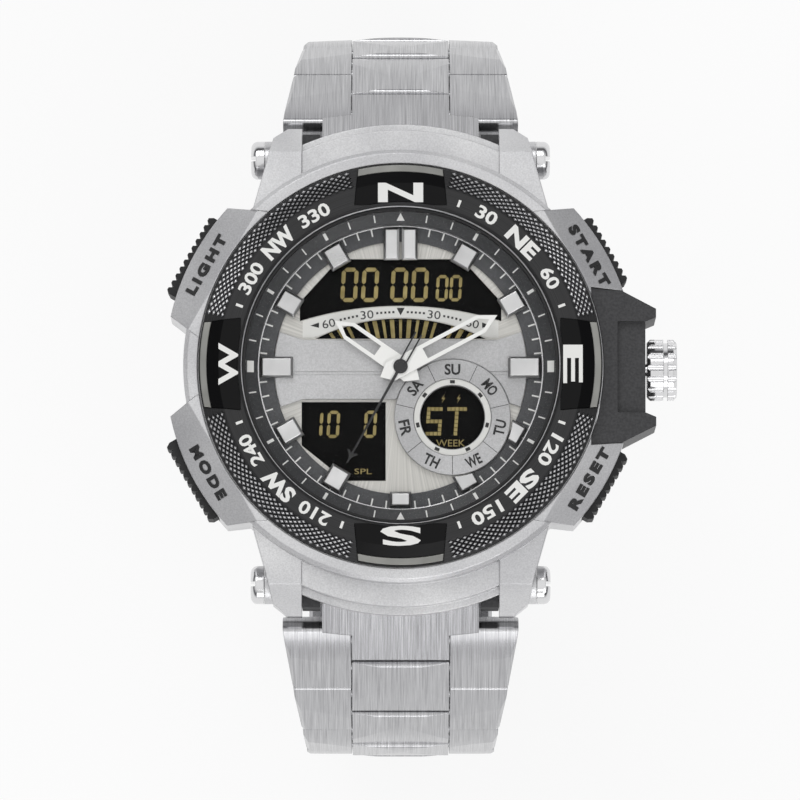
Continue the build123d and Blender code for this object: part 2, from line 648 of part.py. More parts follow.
def middle_blade():
    """The folding blade between the cover and the base blade, with the pin that joins it to the base."""
    low = MIDDLE_HINGE_HEIGHT - KNUCKLE_RADIUS + BODY_GAP
    plate = rectangle(BASE_HINGE_Y, MIDDLE_HINGE_Y, low, low + BLADE_THICKNESS)
    clear = BASE_HINGE_Y + KNUCKLE_RADIUS + BODY_GAP
    wide = rectangle(clear, MIDDLE_HINGE_Y, low, low + BLADE_THICKNESS)
    wide += round_view(KNUCKLE_RADIUS, MIDDLE_HINGE_Y, MIDDLE_HINGE_HEIGHT)
    narrow = plate + round_view(KNUCKLE_RADIUS, BASE_HINGE_Y, BASE_HINGE_HEIGHT)
    shape = sideways(wide, -BLADE_HALF_WIDTH, BLADE_HALF_WIDTH)
    shape += sideways(narrow, -KNUCKLE_HALF_WIDTH, KNUCKLE_HALF_WIDTH)
    for y, z in ((MIDDLE_HINGE_Y, MIDDLE_HINGE_HEIGHT), (BASE_HINGE_Y, BASE_HINGE_HEIGHT)):
        shape -= cross_pin(HINGE_BORE, 2 * BLADE_HALF_WIDTH, y, z)
    pin = cross_pin(HINGE_PIN_RADIUS, BLADE_HALF_WIDTH - SEAT_GAP, BASE_HINGE_Y, BASE_HINGE_HEIGHT)
    return [shape, pin]


def base_blade():
    """The blade on the wrist side, whose free end curls round the knuckle of the middle hinge."""
    curl_inside = KNUCKLE_RADIUS + BODY_GAP
    curl_outside = curl_inside + BLADE_THICKNESS
    low = MIDDLE_HINGE_HEIGHT + curl_inside
    top = MIDDLE_HINGE_HEIGHT + curl_outside
    clear = BASE_HINGE_Y + KNUCKLE_RADIUS + BODY_GAP
    view = rectangle(BASE_HINGE_Y, MIDDLE_HINGE_Y, low, top)
    view += round_view(KNUCKLE_RADIUS, BASE_HINGE_Y, BASE_HINGE_HEIGHT)
    curl = round_view(curl_outside, MIDDLE_HINGE_Y, MIDDLE_HINGE_HEIGHT)
    curl -= round_view(curl_inside, MIDDLE_HINGE_Y, MIDDLE_HINGE_HEIGHT)
    view += curl & rectangle(MIDDLE_HINGE_Y, CLASP_Y, MIDDLE_HINGE_HEIGHT, top)
    shape = sideways(view, -BLADE_HALF_WIDTH, BLADE_HALF_WIDTH)
    room = KNUCKLE_HALF_WIDTH + BODY_GAP / 2
    shape -= block(-room, room, BASE_HINGE_Y - LINK_PITCH, clear, 0, 2 * top)
    shape -= cross_pin(HINGE_BORE, 2 * BLADE_HALF_WIDTH, BASE_HINGE_Y, BASE_HINGE_HEIGHT)
    return shape


def clasp_button():
    """The right release button: a head outside the wall, a stem through it and a flange inside."""
    inner = COVER_HALF_WIDTH - COVER_WALL
    head_start = COVER_HALF_WIDTH + BUTTON_TRAVEL + SEAT_GAP
    head = Cylinder(BUTTON_RADIUS, BUTTON_PROUD, align=BASE)
    head = fillet(head.edges().filter_by(GeomType.CIRCLE).sort_by(Axis.Z)[-1], BUTTON_PROUD / 3)
    flange_top = inner - SEAT_GAP
    stem = Cylinder(BUTTON_STEM_RADIUS, head_start - flange_top, align=BASE)
    flange = Cylinder(BUTTON_FLANGE_RADIUS, BUTTON_FLANGE, align=BASE)
    shape = Pos(0, 0, head_start) * head + Pos(0, 0, flange_top) * stem
    shape += Pos(0, 0, flange_top - BUTTON_FLANGE) * flange
    return Pos(0, 0, CLASP_BAR_HEIGHT) * Rot(0, 90, 0) * shape


# Case

def four_ways(shape):
    """The same shape in all four quadrants of the dial."""
    pair = both_sides(shape)
    return pair + [mirror(one, about=Plane.XZ) for one in pair]


def button_place():
    """Puts a shape drawn along +X on the button axis at 2 o'clock."""
    return Rot(0, 0, BUTTON_ANGLE)


def lug():
    """The silver lug at 1 o'clock, cut from its plan and its side view."""
    base_y = LUG_TIP_Y - LUG_BASE_SETBACK
    plan = polygon([
        (LUG_INNER_X, base_y), (LUG_ROOT_X, base_y), (LUG_ROOT_X, LUG_TIP_Y - LUG_ROOT_SETBACK),
        (LUG_WAIST_X, LUG_TIP_Y - LUG_WAIST_SETBACK), (LUG_CORNER_X, LUG_TIP_Y - LUG_CORNER_SETBACK),
        (LUG_TIP_X, LUG_TIP_Y), (LUG_INNER_X, LUG_TIP_Y),
    ])
    view = polygon([
        (base_y, LUG_BOTTOM), (LUG_TIP_Y - LUG_BOTTOM_SETBACK, LUG_BOTTOM),
        (LUG_TIP_Y, BAR_HEIGHT - LUG_TIP_DROP), (LUG_TIP_Y, BAR_HEIGHT + LUG_TIP_RISE),
        (LUG_TIP_Y - LUG_BREAK_SETBACK, LUG_BREAK_TOP), (base_y, LUG_TOP),
    ])
    shape = upward(plan, 0, RIM_HEIGHT) & sideways(view, LUG_INNER_X, LUG_ROOT_X)
    seat = Pos(0, BAR_Y, BAR_HEIGHT) * Rot(0, 90, 0)
    boss = Pos(LUG_TIP_X, 0, 0) * seat * Cylinder(SCREW_HEAD_RADIUS, SCREW_SEAT_X - LUG_TIP_X, align=BASE)
    return shape + boss


def guard_plan():
    """Plan of the guard over the button at 2 o'clock, in the button's own axes, with a face round the dial."""
    sides = polygon([
        (GUARD_ROOT, GUARD_LUG_SIDE), (GUARD_SHOULDER, GUARD_LUG_SIDE),
        (GUARD_FACE - GUARD_LUG_CORNER_SETBACK, GUARD_LUG_CORNER_SIDE), (GUARD_FACE, GUARD_LUG_FACE_SIDE),
        (GUARD_FACE, -GUARD_MID_FACE_SIDE), (GUARD_FACE - GUARD_CORNER_SETBACK, -GUARD_CORNER_SIDE),
        (GUARD_SHOULDER, -GUARD_MID_SIDE), (GUARD_ROOT, -GUARD_MID_SIDE),
    ])
    return sides & Circle(GUARD_FACE)


def button_guard():
    """The silver guard over the button at 2 o'clock, in the button's own axes."""
    view = polygon([
        (GUARD_ROOT, GUARD_BOTTOM), (GUARD_FACE, GUARD_BOTTOM), (GUARD_FACE, GUARD_FACE_TOP),
        (BEZEL_RADIUS, GUARD_TOP), (GUARD_ROOT, GUARD_TOP),
    ])
    return upward(guard_plan(), GUARD_BOTTOM, GUARD_TOP) & lengthways(view, -GUARD_MID_SIDE, GUARD_LUG_SIDE)


def button_room(mid_side):
    """What is cut away for a button at 2 o'clock: its pocket, its bore and its spring's seat."""
    pocket_floor = PUSHER_BACK - PUSHER_TRAVEL - SEAT_GAP
    low = -mid_side - BODY_GAP
    high = PUSHER_LUG_SIDE + BODY_GAP
    far = PUSHER_FACE + CUT_OVERRUN
    pocket = block(pocket_floor, far, low, high, PUSHER_BOTTOM - BODY_GAP, PUSHER_TOP + BODY_GAP)
    axis = Pos(0, 0, PUSHER_AXIS_HEIGHT) * Rot(0, 90, 0)
    bore_length = PUSHER_BACK - PUSHER_STEM_END + CUT_OVERRUN
    bore = axis * Pos(0, 0, PUSHER_STEM_END - CUT_OVERRUN) * Cylinder(
        PUSHER_STEM_RADIUS + RUN_FIT, bore_length, align=BASE
    )
    seat = axis * Pos(0, 0, SPRING_POCKET_FLOOR) * Cylinder(
        SPRING_OUTER_RADIUS + RUN_FIT, PUSHER_BACK - SPRING_POCKET_FLOOR, align=BASE
    )
    return button_place() * (pocket + bore + seat)


def button_rooms():
    """The rooms of all four buttons: those beside the crown are shorter."""
    right = button_room(PUSHER_CROWN_SIDE)
    left = mirror(button_room(PUSHER_FAR_SIDE), about=Plane.YZ)
    return [right, left] + lower([right, left])


def crown_block_plan(gap):
    """Plan of the block that shields the crown, grown by a gap on its sides."""
    upper = [
        (BLOCK_ROOT_X, BLOCK_ROOT_Y + gap), (BLOCK_SHOULDER_X, BLOCK_SHOULDER_Y + gap),
        (BLOCK_TIP_X, BLOCK_TIP_Y + gap), (BLOCK_TIP_X, BLOCK_NOTCH_DEPTH_Y), (BLOCK_WALL_X, BLOCK_NOTCH_Y),
    ]
    lower = [(x, -y) for x, y in reversed(upper)]
    return polygon(upper + lower)


def stem_room(radius, start, end):
    """A round hole on the crown's axis."""
    return Pos(start, 0, CROWN_HEIGHT) * Rot(0, 90, 0) * Cylinder(radius, end - start, align=BASE)


def end_link_room():
    """What is cut away for both end links to sit and swing in."""
    half = LUG_CORE_INNER_X
    barrel = cross_pin(BARREL_RADIUS + BODY_GAP, half, BAR_Y, BAR_HEIGHT)
    below = block(-half, half, BAR_Y - BARREL_RADIUS - BODY_GAP, 2 * BAR_Y, 0, BAR_HEIGHT)
    outside = block(-half, half, BAR_Y, 2 * BAR_Y, 0, BAND_BOTTOM)
    room = barrel + below + outside
    return room + mirror(room, about=Plane.XZ)


def case_shell():
    """The silver shell: flank, deck, rim and collar, bands, lugs and button guards."""
    shape = disc(SHELL_RADIUS, SHELL_BOTTOM, RIM_HEIGHT)
    shape = chamfer(shape.edges().filter_by(GeomType.CIRCLE).sort_by(Axis.Z)[-1], RIM_CHAMFER)
    strip = block(-LUG_INNER_X, LUG_INNER_X, -2 * SHELL_RADIUS, 2 * SHELL_RADIUS, 0, RIM_HEIGHT)
    bands = disc(UPPER_BAND_RADIUS, BAND_BOTTOM, UPPER_BAND_TOP)
    bands += disc(LOWER_BAND_RADIUS, BAND_BOTTOM, LOWER_BAND_TOP)
    shape += bands & strip
    for piece in four_ways(lug()):
        shape += piece
    over_guard = upward(guard_plan(), GUARD_FACE_TOP, RIM_HEIGHT + CUT_OVERRUN)
    for cut in four_ways(button_place() * over_guard):
        shape -= cut
    for piece in four_ways(button_place() * button_guard()):
        shape += piece
    shape -= ring(BEZEL_RADIUS + BEZEL_ROOM, COLLAR_RADIUS, DECK_HEIGHT, RIM_HEIGHT + CUT_OVERRUN)
    shape += ring(COLLAR_RADIUS, CRYSTAL_OPENING_RADIUS, DECK_HEIGHT, COLLAR_TOP)
    shape -= disc(CORE_RADIUS + SEAT_GAP, 0, DECK_HEIGHT - DECK_THICKNESS)
    shape -= disc(CRYSTAL_OPENING_RADIUS, 0, COLLAR_TOP + CUT_OVERRUN)
    arm_end = LUG_TIP_Y - LUG_CORE_SETBACK + SEAT_GAP
    arm = block(LUG_CORE_INNER_X, LUG_INNER_X, 0, arm_end, 0, LUG_CORE_TOP + SEAT_GAP)
    for cut in four_ways(arm) + button_rooms():
        shape -= cut
    shape -= end_link_room()
    block_room = upward(crown_block_plan(SEAT_GAP), 0, RIM_HEIGHT + CUT_OVERRUN)
    shape -= block_room - disc(BEZEL_RADIUS + 2 * RUN_FIT, 0, RIM_HEIGHT + 2 * CUT_OVERRUN)
    shape -= stem_room(TUBE_RADIUS + SEAT_GAP, 0, BLOCK_TIP_X)
    head_seat = Pos(SCREW_SEAT_X, BAR_Y, BAR_HEIGHT) * Rot(0, 90, 0)
    for cut in four_ways(head_seat * Cylinder(SCREW_HEAD_RADIUS + SEAT_GAP, SCREW_HEAD_HEIGHT, align=BASE)):
        shape -= cut
    for side in (1, -1):
        shape -= cross_pin(BAR_RADIUS + RUN_FIT, SCREW_SEAT_X + SEAT_GAP, side * BAR_Y, BAR_HEIGHT)
    return Pos(0, 0, CASE_LIFT) * shape


def case_core():
    """The black core under the shell, with the arms that carry the lug bars."""
    shape = disc(CORE_RADIUS, CORE_BOTTOM, DIAL_BOTTOM)
    arm_end = LUG_TIP_Y - LUG_CORE_SETBACK
    arm = block(LUG_CORE_INNER_X, LUG_INNER_X - SEAT_GAP, 0, arm_end, LUG_BOTTOM, LUG_CORE_TOP)
    for piece in four_ways(arm):
        shape += piece
    shape -= disc(CAVITY_RADIUS, 0, DECK_HEIGHT)
    shape -= end_link_room()
    for cut in button_rooms():
        shape -= cut
    groove_outer = GASKET_INNER_RADIUS + GASKET_WIDTH + SEAT_GAP
    shape -= ring(groove_outer, GASKET_INNER_RADIUS - SEAT_GAP, 0, CORE_BOTTOM + GASKET_GROOVE)
    for screw_x, screw_y in back_screw_places():
        shape -= disc(BACK_SCREW_RADIUS + RUN_FIT, 0, BACK_SCREW_LENGTH + SEAT_GAP, screw_x, screw_y)
    shape -= stem_room(TUBE_RADIUS + SEAT_GAP, 0, BLOCK_TIP_X)
    for side in (1, -1):
        shape -= cross_pin(BAR_RADIUS + RUN_FIT, SCREW_SEAT_X, side * BAR_Y, BAR_HEIGHT)
    return Pos(0, 0, CASE_LIFT) * shape


def crown_block():
    """The black block round the crown: a saddle with two arms that stand beside the crown."""
    shape = upward(crown_block_plan(0), BLOCK_BOTTOM, BLOCK_TOP)
    slope = polygon([
        (BLOCK_ROOT_X, BLOCK_TOP), (BLOCK_TIP_X, BLOCK_WALL_TOP), (BLOCK_TIP_X, 2 * BLOCK_TOP),
        (BLOCK_ROOT_X, 2 * BLOCK_TOP),
    ])
    shape -= lengthways(slope, -2 * BLOCK_ROOT_Y, 2 * BLOCK_ROOT_Y)
    saddle = polygon([
        (SHELL_RADIUS, BLOCK_TOP), (BLOCK_TIP_X, BLOCK_TOP), (BLOCK_TIP_X, BLOCK_WALL_TOP - BLOCK_SADDLE),
        (SHELL_RADIUS, BLOCK_WALL_TOP - BLOCK_SADDLE / 2),
    ])
    shape -= lengthways(saddle, -BLOCK_NOTCH_Y, BLOCK_NOTCH_Y)
    shape -= disc(BEZEL_RADIUS + BEZEL_ROOM, 0, 2 * BLOCK_TOP)
    for cut in button_rooms():
        shape -= cut
    shape -= stem_room(TUBE_RADIUS + SEAT_GAP, 0, 2 * BLOCK_TIP_X)
    return Pos(0, 0, CASE_LIFT) * shape


# Case back

def back_screw_places():
    reach = BACK_SCREW_CIRCLE * sqrt(2) / 2
    return [(x, y) for x in (-reach, reach) for y in (-reach, reach)]


def case_back():
    shape = disc(BACK_RADIUS, 0, BACK_THICKNESS)
    shape = chamfer(shape.edges().filter_by(GeomType.CIRCLE).sort_by(Axis.Z)[0], BACK_CHAMFER)
    shape += ring(SPIGOT_RADIUS, SPIGOT_RADIUS - SPIGOT_WALL, BACK_THICKNESS, SPIGOT_TOP)
    for x, y in back_screw_places():
        shape -= disc(BACK_SCREW_HEAD_RADIUS + RUN_FIT, -CUT_OVERRUN, BACK_SCREW_HEAD + SEAT_GAP, x, y)
        shape -= disc(BACK_SCREW_RADIUS + RUN_FIT, 0, BACK_THICKNESS + CUT_OVERRUN, x, y)
    return Pos(0, 0, CASE_LIFT) * shape


def back_screws():
    screws = []
    for x, y in back_screw_places():
        screw = disc(BACK_SCREW_HEAD_RADIUS, 0, BACK_SCREW_HEAD, x, y)
        screw += disc(BACK_SCREW_RADIUS, 0, BACK_SCREW_LENGTH, x, y)
        screws.append(Pos(0, 0, CASE_LIFT) * screw)
    return screws


def back_gasket():
    low = BACK_THICKNESS + SEAT_GAP
    high = CORE_BOTTOM + GASKET_GROOVE - SEAT_GAP
    shape = ring(GASKET_INNER_RADIUS + GASKET_WIDTH, GASKET_INNER_RADIUS, low, high)
    return Pos(0, 0, CASE_LIFT) * shape


# Crown

def crown():
    shape = Cylinder(CROWN_RADIUS, CROWN_LENGTH, align=BASE)
    shape = chamfer(shape.edges().filter_by(GeomType.CIRCLE), CROWN_CHAMFER)
    flute = Pos(CROWN_RADIUS, 0, 0) * Cylinder(CROWN_FLUTE_RADIUS, CROWN_LENGTH + CUT_OVERRUN, align=BASE)
    shape -= [Rot(0, 0, 360 * n / CROWN_FLUTES) * flute for n in range(CROWN_FLUTES)]
    groove_end = CROWN_GROOVE_START + CROWN_GROOVE_WIDTH
    shape -= ring(CROWN_RADIUS + CUT_OVERRUN, CROWN_RADIUS - CROWN_GROOVE_DEPTH, CROWN_GROOVE_START, groove_end)
    shape -= Cylinder(STEM_RADIUS + RUN_FIT, STEM_GRIP, align=BASE)
    start = BLOCK_WALL_X + BODY_GAP
    return Pos(start, 0, CROWN_HEIGHT + CASE_LIFT) * Rot(0, 90, 0) * shape


def crown_stem():
    end = BLOCK_WALL_X + BODY_GAP + STEM_GRIP - SEAT_GAP
    shape = stem_room(STEM_RADIUS, STEM_INNER_X, end)
    neck = stem_room(STEM_RADIUS + CUT_OVERRUN, STEM_NECK_X, STEM_NECK_X + STEM_NECK_LENGTH)
    shape -= neck - stem_room(STEM_NECK_RADIUS, 0, end)
    return Pos(0, 0, CASE_LIFT) * shape


def stem_retainer():
    """The forked clip in the stem's neck, which moves in and out with the crown and doesn't turn."""
    start = STEM_NECK_X + BODY_GAP / 2
    end = STEM_NECK_X + STEM_NECK_LENGTH - BODY_GAP / 2
    hole = STEM_NECK_RADIUS + RUN_FIT
    shape = stem_room(RETAINER_RADIUS, start, end) - stem_room(hole, 0, end)
    shape -= block(0, end, -hole, hole, 0, CROWN_HEIGHT)
    return Pos(0, 0, CASE_LIFT) * shape


def crown_tube():
    end = BLOCK_WALL_X - SEAT_GAP
    shape = stem_room(TUBE_RADIUS, TUBE_INNER_X, end) - stem_room(STEM_RADIUS + RUN_FIT, 0, 2 * end)
    return Pos(0, 0, CASE_LIFT) * shape


# Side buttons

def toothed_edge(mid_side):
    """The grip of a button, as points along its outer face."""
    length = mid_side + PUSHER_LUG_SIDE
    teeth = round(length / PUSHER_TOOTH_PITCH)
    step = length / teeth
    points = []
    for n in range(teeth):
        start = n * step - mid_side
        points += [(PUSHER_FACE - PUSHER_TOOTH, start), (PUSHER_FACE, start + step / 3)]
        points += [(PUSHER_FACE, start + 2 * step / 3)]
    points.append((PUSHER_FACE - PUSHER_TOOTH, PUSHER_LUG_SIDE))
    return points


def pusher(mid_side):
    """A button at 2 o'clock: a toothed bar on a round stem."""
    plan = polygon(toothed_edge(mid_side) + [(PUSHER_BACK, PUSHER_LUG_SIDE), (PUSHER_BACK, -mid_side)])
    shape = upward(plan, PUSHER_BOTTOM, PUSHER_TOP)
    axis = Pos(0, 0, PUSHER_AXIS_HEIGHT) * Rot(0, 90, 0)
    bore = Cylinder(SPRING_OUTER_RADIUS + RUN_FIT, HEAD_BORE_DEPTH, align=BASE)
    shape -= axis * Pos(0, 0, PUSHER_BACK) * bore
    stem_length = PUSHER_BACK + HEAD_BORE_DEPTH - PUSHER_STEM_END
    shape += axis * Pos(0, 0, PUSHER_STEM_END) * Cylinder(PUSHER_STEM_RADIUS, stem_length, align=BASE)
    return Pos(0, 0, CASE_LIFT) * button_place() * shape


def pusher_spring():
    """The spring behind the button at 2 o'clock, as a plain sleeve at its pressed length."""
    start = SPRING_POCKET_FLOOR + SEAT_GAP
    end = PUSHER_BACK + HEAD_BORE_DEPTH - PUSHER_TRAVEL - SEAT_GAP
    shape = Cylinder(SPRING_OUTER_RADIUS, end - start, align=BASE)
    shape -= Cylinder(PUSHER_STEM_RADIUS + SPRING_SLACK, end - start, align=BASE)
    axis = Pos(0, 0, PUSHER_AXIS_HEIGHT + CASE_LIFT) * Rot(0, 90, 0)
    return button_place() * axis * Pos(0, 0, start) * shape


# Bezel

def plate_plan(gap):
    """Plan of the cardinal plate at 12 o'clock."""
    inner = PLATE_INNER_HALF + gap
    outer = PLATE_OUTER_HALF + gap
    far = STRIP_OUTER_RADIUS + gap
    return polygon([(-inner, BEZEL_LIP_RADIUS), (inner, BEZEL_LIP_RADIUS), (outer, far), (-outer, far)])


def quarter_turns(shape):
    return [Rot(0, 0, 90 * n) * shape for n in range(4)]


def bezel_ring():
    shape = turned([
        (COLLAR_RADIUS + RUN_FIT, BEZEL_BOTTOM), (BEZEL_RADIUS, BEZEL_BOTTOM), (BEZEL_RADIUS, BEZEL_EDGE_TOP),
        (BEZEL_FLAT_RADIUS, BEZEL_TOP), (BEZEL_LIP_BREAK, BEZEL_TOP), (BEZEL_LIP_RADIUS, BEZEL_LIP_TOP),
        (BEZEL_LIP_RADIUS, BEZEL_LIP_BOTTOM), (COLLAR_RADIUS + RUN_FIT, BEZEL_LIP_BOTTOM),
    ])
    inside = disc(BEZEL_LIP_BREAK, 0, 2 * BEZEL_TOP)
    outside = disc(STRIP_OUTER_RADIUS + SEAT_GAP, 0, 2 * BEZEL_TOP)
    pocket = upward(plate_plan(SEAT_GAP), PLATE_FLOOR, 2 * BEZEL_TOP) & outside
    collar_wall = disc(COLLAR_RADIUS + PLATE_STEP, 0, BEZEL_LIP_BOTTOM + BODY_GAP)
    for cut in quarter_turns(pocket - inside - collar_wall):
        shape -= cut
    return Pos(0, 0, CASE_LIFT) * shape


def bezel_plates():
    """The four glossy plates at the quarters of the bezel."""
    inner = BEZEL_LIP_BREAK + SEAT_GAP
    step = COLLAR_RADIUS + PLATE_STEP + SEAT_GAP
    low = PLATE_FLOOR + SEAT_GAP
    crest = BEZEL_TOP + PLATE_RISE
    body = turned([
        (step, low), (PLATE_OUTER_RADIUS, low), (PLATE_OUTER_RADIUS, STRIP_TOP + PLATE_RISE),
        (BEZEL_FLAT_RADIUS, crest), (inner, crest), (inner, BEZEL_LIP_BOTTOM + BODY_GAP + SEAT_GAP),
        (step, BEZEL_LIP_BOTTOM + BODY_GAP + SEAT_GAP),
    ])
    plate = body & upward(plate_plan(0), 0, 2 * BEZEL_TOP)
    return [Pos(0, 0, CASE_LIFT) * one for one in quarter_turns(plate)]


def bezel_strips():
    """The four bright strips outside the plates."""
    strip = ring(STRIP_OUTER_RADIUS, PLATE_OUTER_RADIUS + SEAT_GAP, PLATE_FLOOR + SEAT_GAP, STRIP_TOP)
    strip = strip & upward(plate_plan(0), 0, 2 * BEZEL_TOP)
    return [Pos(0, 0, CASE_LIFT) * one for one in quarter_turns(strip)]


# Crystal and dial

def crystal():
    shape = disc(CRYSTAL_RADIUS, CRYSTAL_BOTTOM, CRYSTAL_TOP)
    shape = chamfer(shape.edges().filter_by(GeomType.CIRCLE).sort_by(Axis.Z)[-1], CRYSTAL_CHAMFER)
    return Pos(0, 0, CASE_LIFT) * shape


def crystal_gasket():
    shape = ring(CRYSTAL_OPENING_RADIUS - SEAT_GAP, CRYSTAL_RADIUS + SEAT_GAP, CRYSTAL_BOTTOM, COLLAR_TOP)
    return Pos(0, 0, CASE_LIFT) * shape


def chapter_ring():
    low = DIAL_TOP + SEAT_GAP
    shape = turned([
        (CHAPTER_INNER_RADIUS, low), (CHAPTER_OUTER_RADIUS, low), (CHAPTER_OUTER_RADIUS, CHAPTER_OUTER_TOP),
        (CHAPTER_INNER_RADIUS, CHAPTER_INNER_TOP),
    ])
    shape -= weekday_disc(WEEKDAY_OUTER_RADIUS + SEAT_GAP, 0, DECK_HEIGHT)
    return Pos(0, 0, CASE_LIFT) * shape


def dial_flange():
    """The flat ring inside the number ring, cut round the weekday ring."""
    low = DIAL_TOP + SEAT_GAP
    shape = ring(CHAPTER_INNER_RADIUS - SEAT_GAP, FLANGE_INNER_RADIUS, low, FLANGE_TOP)
    shape -= weekday_disc(WEEKDAY_OUTER_RADIUS + SEAT_GAP, 0, DECK_HEIGHT)
    return Pos(0, 0, CASE_LIFT) * shape


def arch(half, low, rise):
    """The curved lower edge of a window, through its crown."""
    return ThreePointArc((-half, low), (0, low + rise), (half, low))


def top_window(gap):
    """Plan of the time display: arched below, with cut corners above."""
    half = TOP_WINDOW_HALF + gap
    low = TOP_WINDOW_LOW - gap
    high = TOP_WINDOW_HIGH + gap
    sides = Polyline(
        (half, low), (half, TOP_WINDOW_SIDE + gap), (TOP_WINDOW_HIGH_HALF + gap, high),
        (-TOP_WINDOW_HIGH_HALF - gap, high), (-half, TOP_WINDOW_SIDE + gap), (-half, low),
    )
    return make_face(sides.edges() + arch(half, low, TOP_WINDOW_RISE).edges())


def arc_window():
    """Plan of the fan display under the arched scale."""
    base = Polyline((ARC_WINDOW_HALF, ARC_WINDOW_LOW), (-ARC_WINDOW_HALF, ARC_WINDOW_LOW))
    top = arch(ARC_WINDOW_HALF, ARC_WINDOW_LOW, ARC_WINDOW_RISE)
    return make_face(base.edges() + top.edges())


def left_window(gap):
    """Plan of the small display at 8 o'clock."""
    left = LEFT_WINDOW_LEFT - gap
    right = LEFT_WINDOW_RIGHT + gap
    low = LEFT_WINDOW_BOTTOM - gap
    high = LEFT_WINDOW_TOP + gap
    foot = (LEFT_WINDOW_FOOT, low)
    return polygon([(left, high), (right, high), (right, low), foot, (left, LEFT_WINDOW_SIDE)])


def weekday_disc(radius, low, high):
    return disc(radius, low, high, WEEKDAY_X, WEEKDAY_Y)


def dial_plate():
    shape = disc(DIAL_RADIUS, DIAL_BOTTOM, DIAL_TOP)
    for window in (top_window(0), arc_window(), left_window(0)):
        shape -= upward(window, 0, DECK_HEIGHT)
    shape -= weekday_disc(WEEKDAY_WINDOW_RADIUS, 0, DECK_HEIGHT)
    shape -= disc(HOUR_PIPE_RADIUS + BODY_GAP, 0, DECK_HEIGHT)
    return Pos(0, 0, CASE_LIFT) * shape


def dial_bridge():
    """The raised band across the dial, cut round the weekday ring."""
    outer = FLANGE_INNER_RADIUS - SEAT_GAP
    end = BRIDGE_HALF_LENGTH
    shoulder = BRIDGE_SHOULDER_X
    plan = polygon([
        (-end, BRIDGE_TOP_END_Y), (-shoulder, BRIDGE_TOP_Y), (shoulder, BRIDGE_TOP_Y), (end, BRIDGE_TOP_END_Y),
        (end, BRIDGE_LOW_END_Y), (shoulder, BRIDGE_LOW_Y), (-shoulder, BRIDGE_LOW_Y), (-end, BRIDGE_LOW_END_Y),
    ])
    low = DIAL_TOP + SEAT_GAP
    shape = upward(plan, low, BRIDGE_TOP) & disc(outer, low, BRIDGE_TOP)
    groove_low = BRIDGE_GROOVE_Y - BRIDGE_GROOVE_WIDTH
    shape -= block(-outer, outer, groove_low, BRIDGE_GROOVE_Y, BRIDGE_TOP - BRIDGE_GROOVE_DEPTH, DECK_HEIGHT)
    shape -= weekday_disc(WEEKDAY_OUTER_RADIUS + SEAT_GAP, 0, DECK_HEIGHT)
    shape -= disc(HOUR_PIPE_RADIUS + BODY_GAP, 0, DECK_HEIGHT)
    return Pos(0, 0, CASE_LIFT) * shape


def weekday_ring():
    """The stepped ring round the weekday display."""
    low = DIAL_TOP + SEAT_GAP
    shape = weekday_disc(WEEKDAY_OUTER_RADIUS, low, WEEKDAY_TOP)
    shape -= weekday_disc(WEEKDAY_STEP_RADIUS, WEEKDAY_STEP_TOP, DECK_HEIGHT)
    shape -= weekday_disc(WEEKDAY_WINDOW_RADIUS, 0, DECK_HEIGHT)
    shape -= disc(HOUR_PIPE_RADIUS + BODY_GAP, 0, DECK_HEIGHT)
    return Pos(0, 0, CASE_LIFT) * shape


def marker(length, width, offset=0):
    """One applied hour marker at 12 o'clock, with a bevelled top."""
    outer = MARKER_OUTER_RADIUS
    shape = block(offset - width / 2, offset + width / 2, outer - length, outer, MARKER_BOTTOM, MARKER_TOP)
    return chamfer(shape.faces().sort_by(Axis.Z)[-1].edges(), MARKER_CHAMFER)


def hour_markers():
    """Two narrow markers at 12, long ones at 3 and 9, a short one at 6 and square ones at the other hours."""
    markers = [marker(MARKER_LONG, TWELVE_WIDTH, side * TWELVE_SPACING / 2) for side in (1, -1)]
    for hour in range(1, 12):
        length = MARKER_LONG if hour in LONG_MARKER_HOURS else MARKER_SHORT
        if hour == SHORT_MARKER_HOUR:
            length = SIX_LENGTH
        piece = Rot(0, 0, -30 * hour) * marker(length, MARKER_WIDTH)
        piece -= weekday_disc(WEEKDAY_OUTER_RADIUS + BODY_GAP, 0, DECK_HEIGHT)
        markers.append(piece)
    return [Pos(0, 0, CASE_LIFT) * one for one in markers]


def display_panels():
    """The display cells under the dial's windows."""
    upper = upward(top_window(PANEL_MARGIN), PANEL_BOTTOM, PANEL_TOP)
    fan = rectangle(-ARC_WINDOW_HALF, ARC_WINDOW_HALF, ARC_WINDOW_LOW - PANEL_MARGIN, TOP_WINDOW_LOW)
    upper += upward(fan, PANEL_BOTTOM, PANEL_TOP)
    left = upward(left_window(PANEL_MARGIN), PANEL_BOTTOM, PANEL_TOP)
    weekday = weekday_disc(WEEKDAY_WINDOW_RADIUS + PANEL_MARGIN, PANEL_BOTTOM, PANEL_TOP)
    return [Pos(0, 0, CASE_LIFT) * cell for cell in (upper, left, weekday)]


# Hands

def hand_blade(length, low):
    """A hand pointing at 12 o'clock: a solid root with a tail, then an open frame up to the point."""
    plan = polygon([
        (-HAND_ROOT_HALF, -HAND_TAIL / 2), (0, -HAND_TAIL), (HAND_ROOT_HALF, -HAND_TAIL / 2),
        (HAND_BLADE_HALF, HAND_WINDOW_START), (HAND_BLADE_HALF, length - HAND_POINT), (0, length),
        (-HAND_BLADE_HALF, length - HAND_POINT), (-HAND_BLADE_HALF, HAND_WINDOW_START),
    ])
    inner = HAND_BLADE_HALF - HAND_RAIL
    plan -= polygon([
        (-inner, HAND_WINDOW_START), (inner, HAND_WINDOW_START), (inner, length - HAND_POINT),
        (0, length - HAND_POINT / 2), (-inner, length - HAND_POINT),
    ])
    return upward(plan, low, low + HAND_THICKNESS)


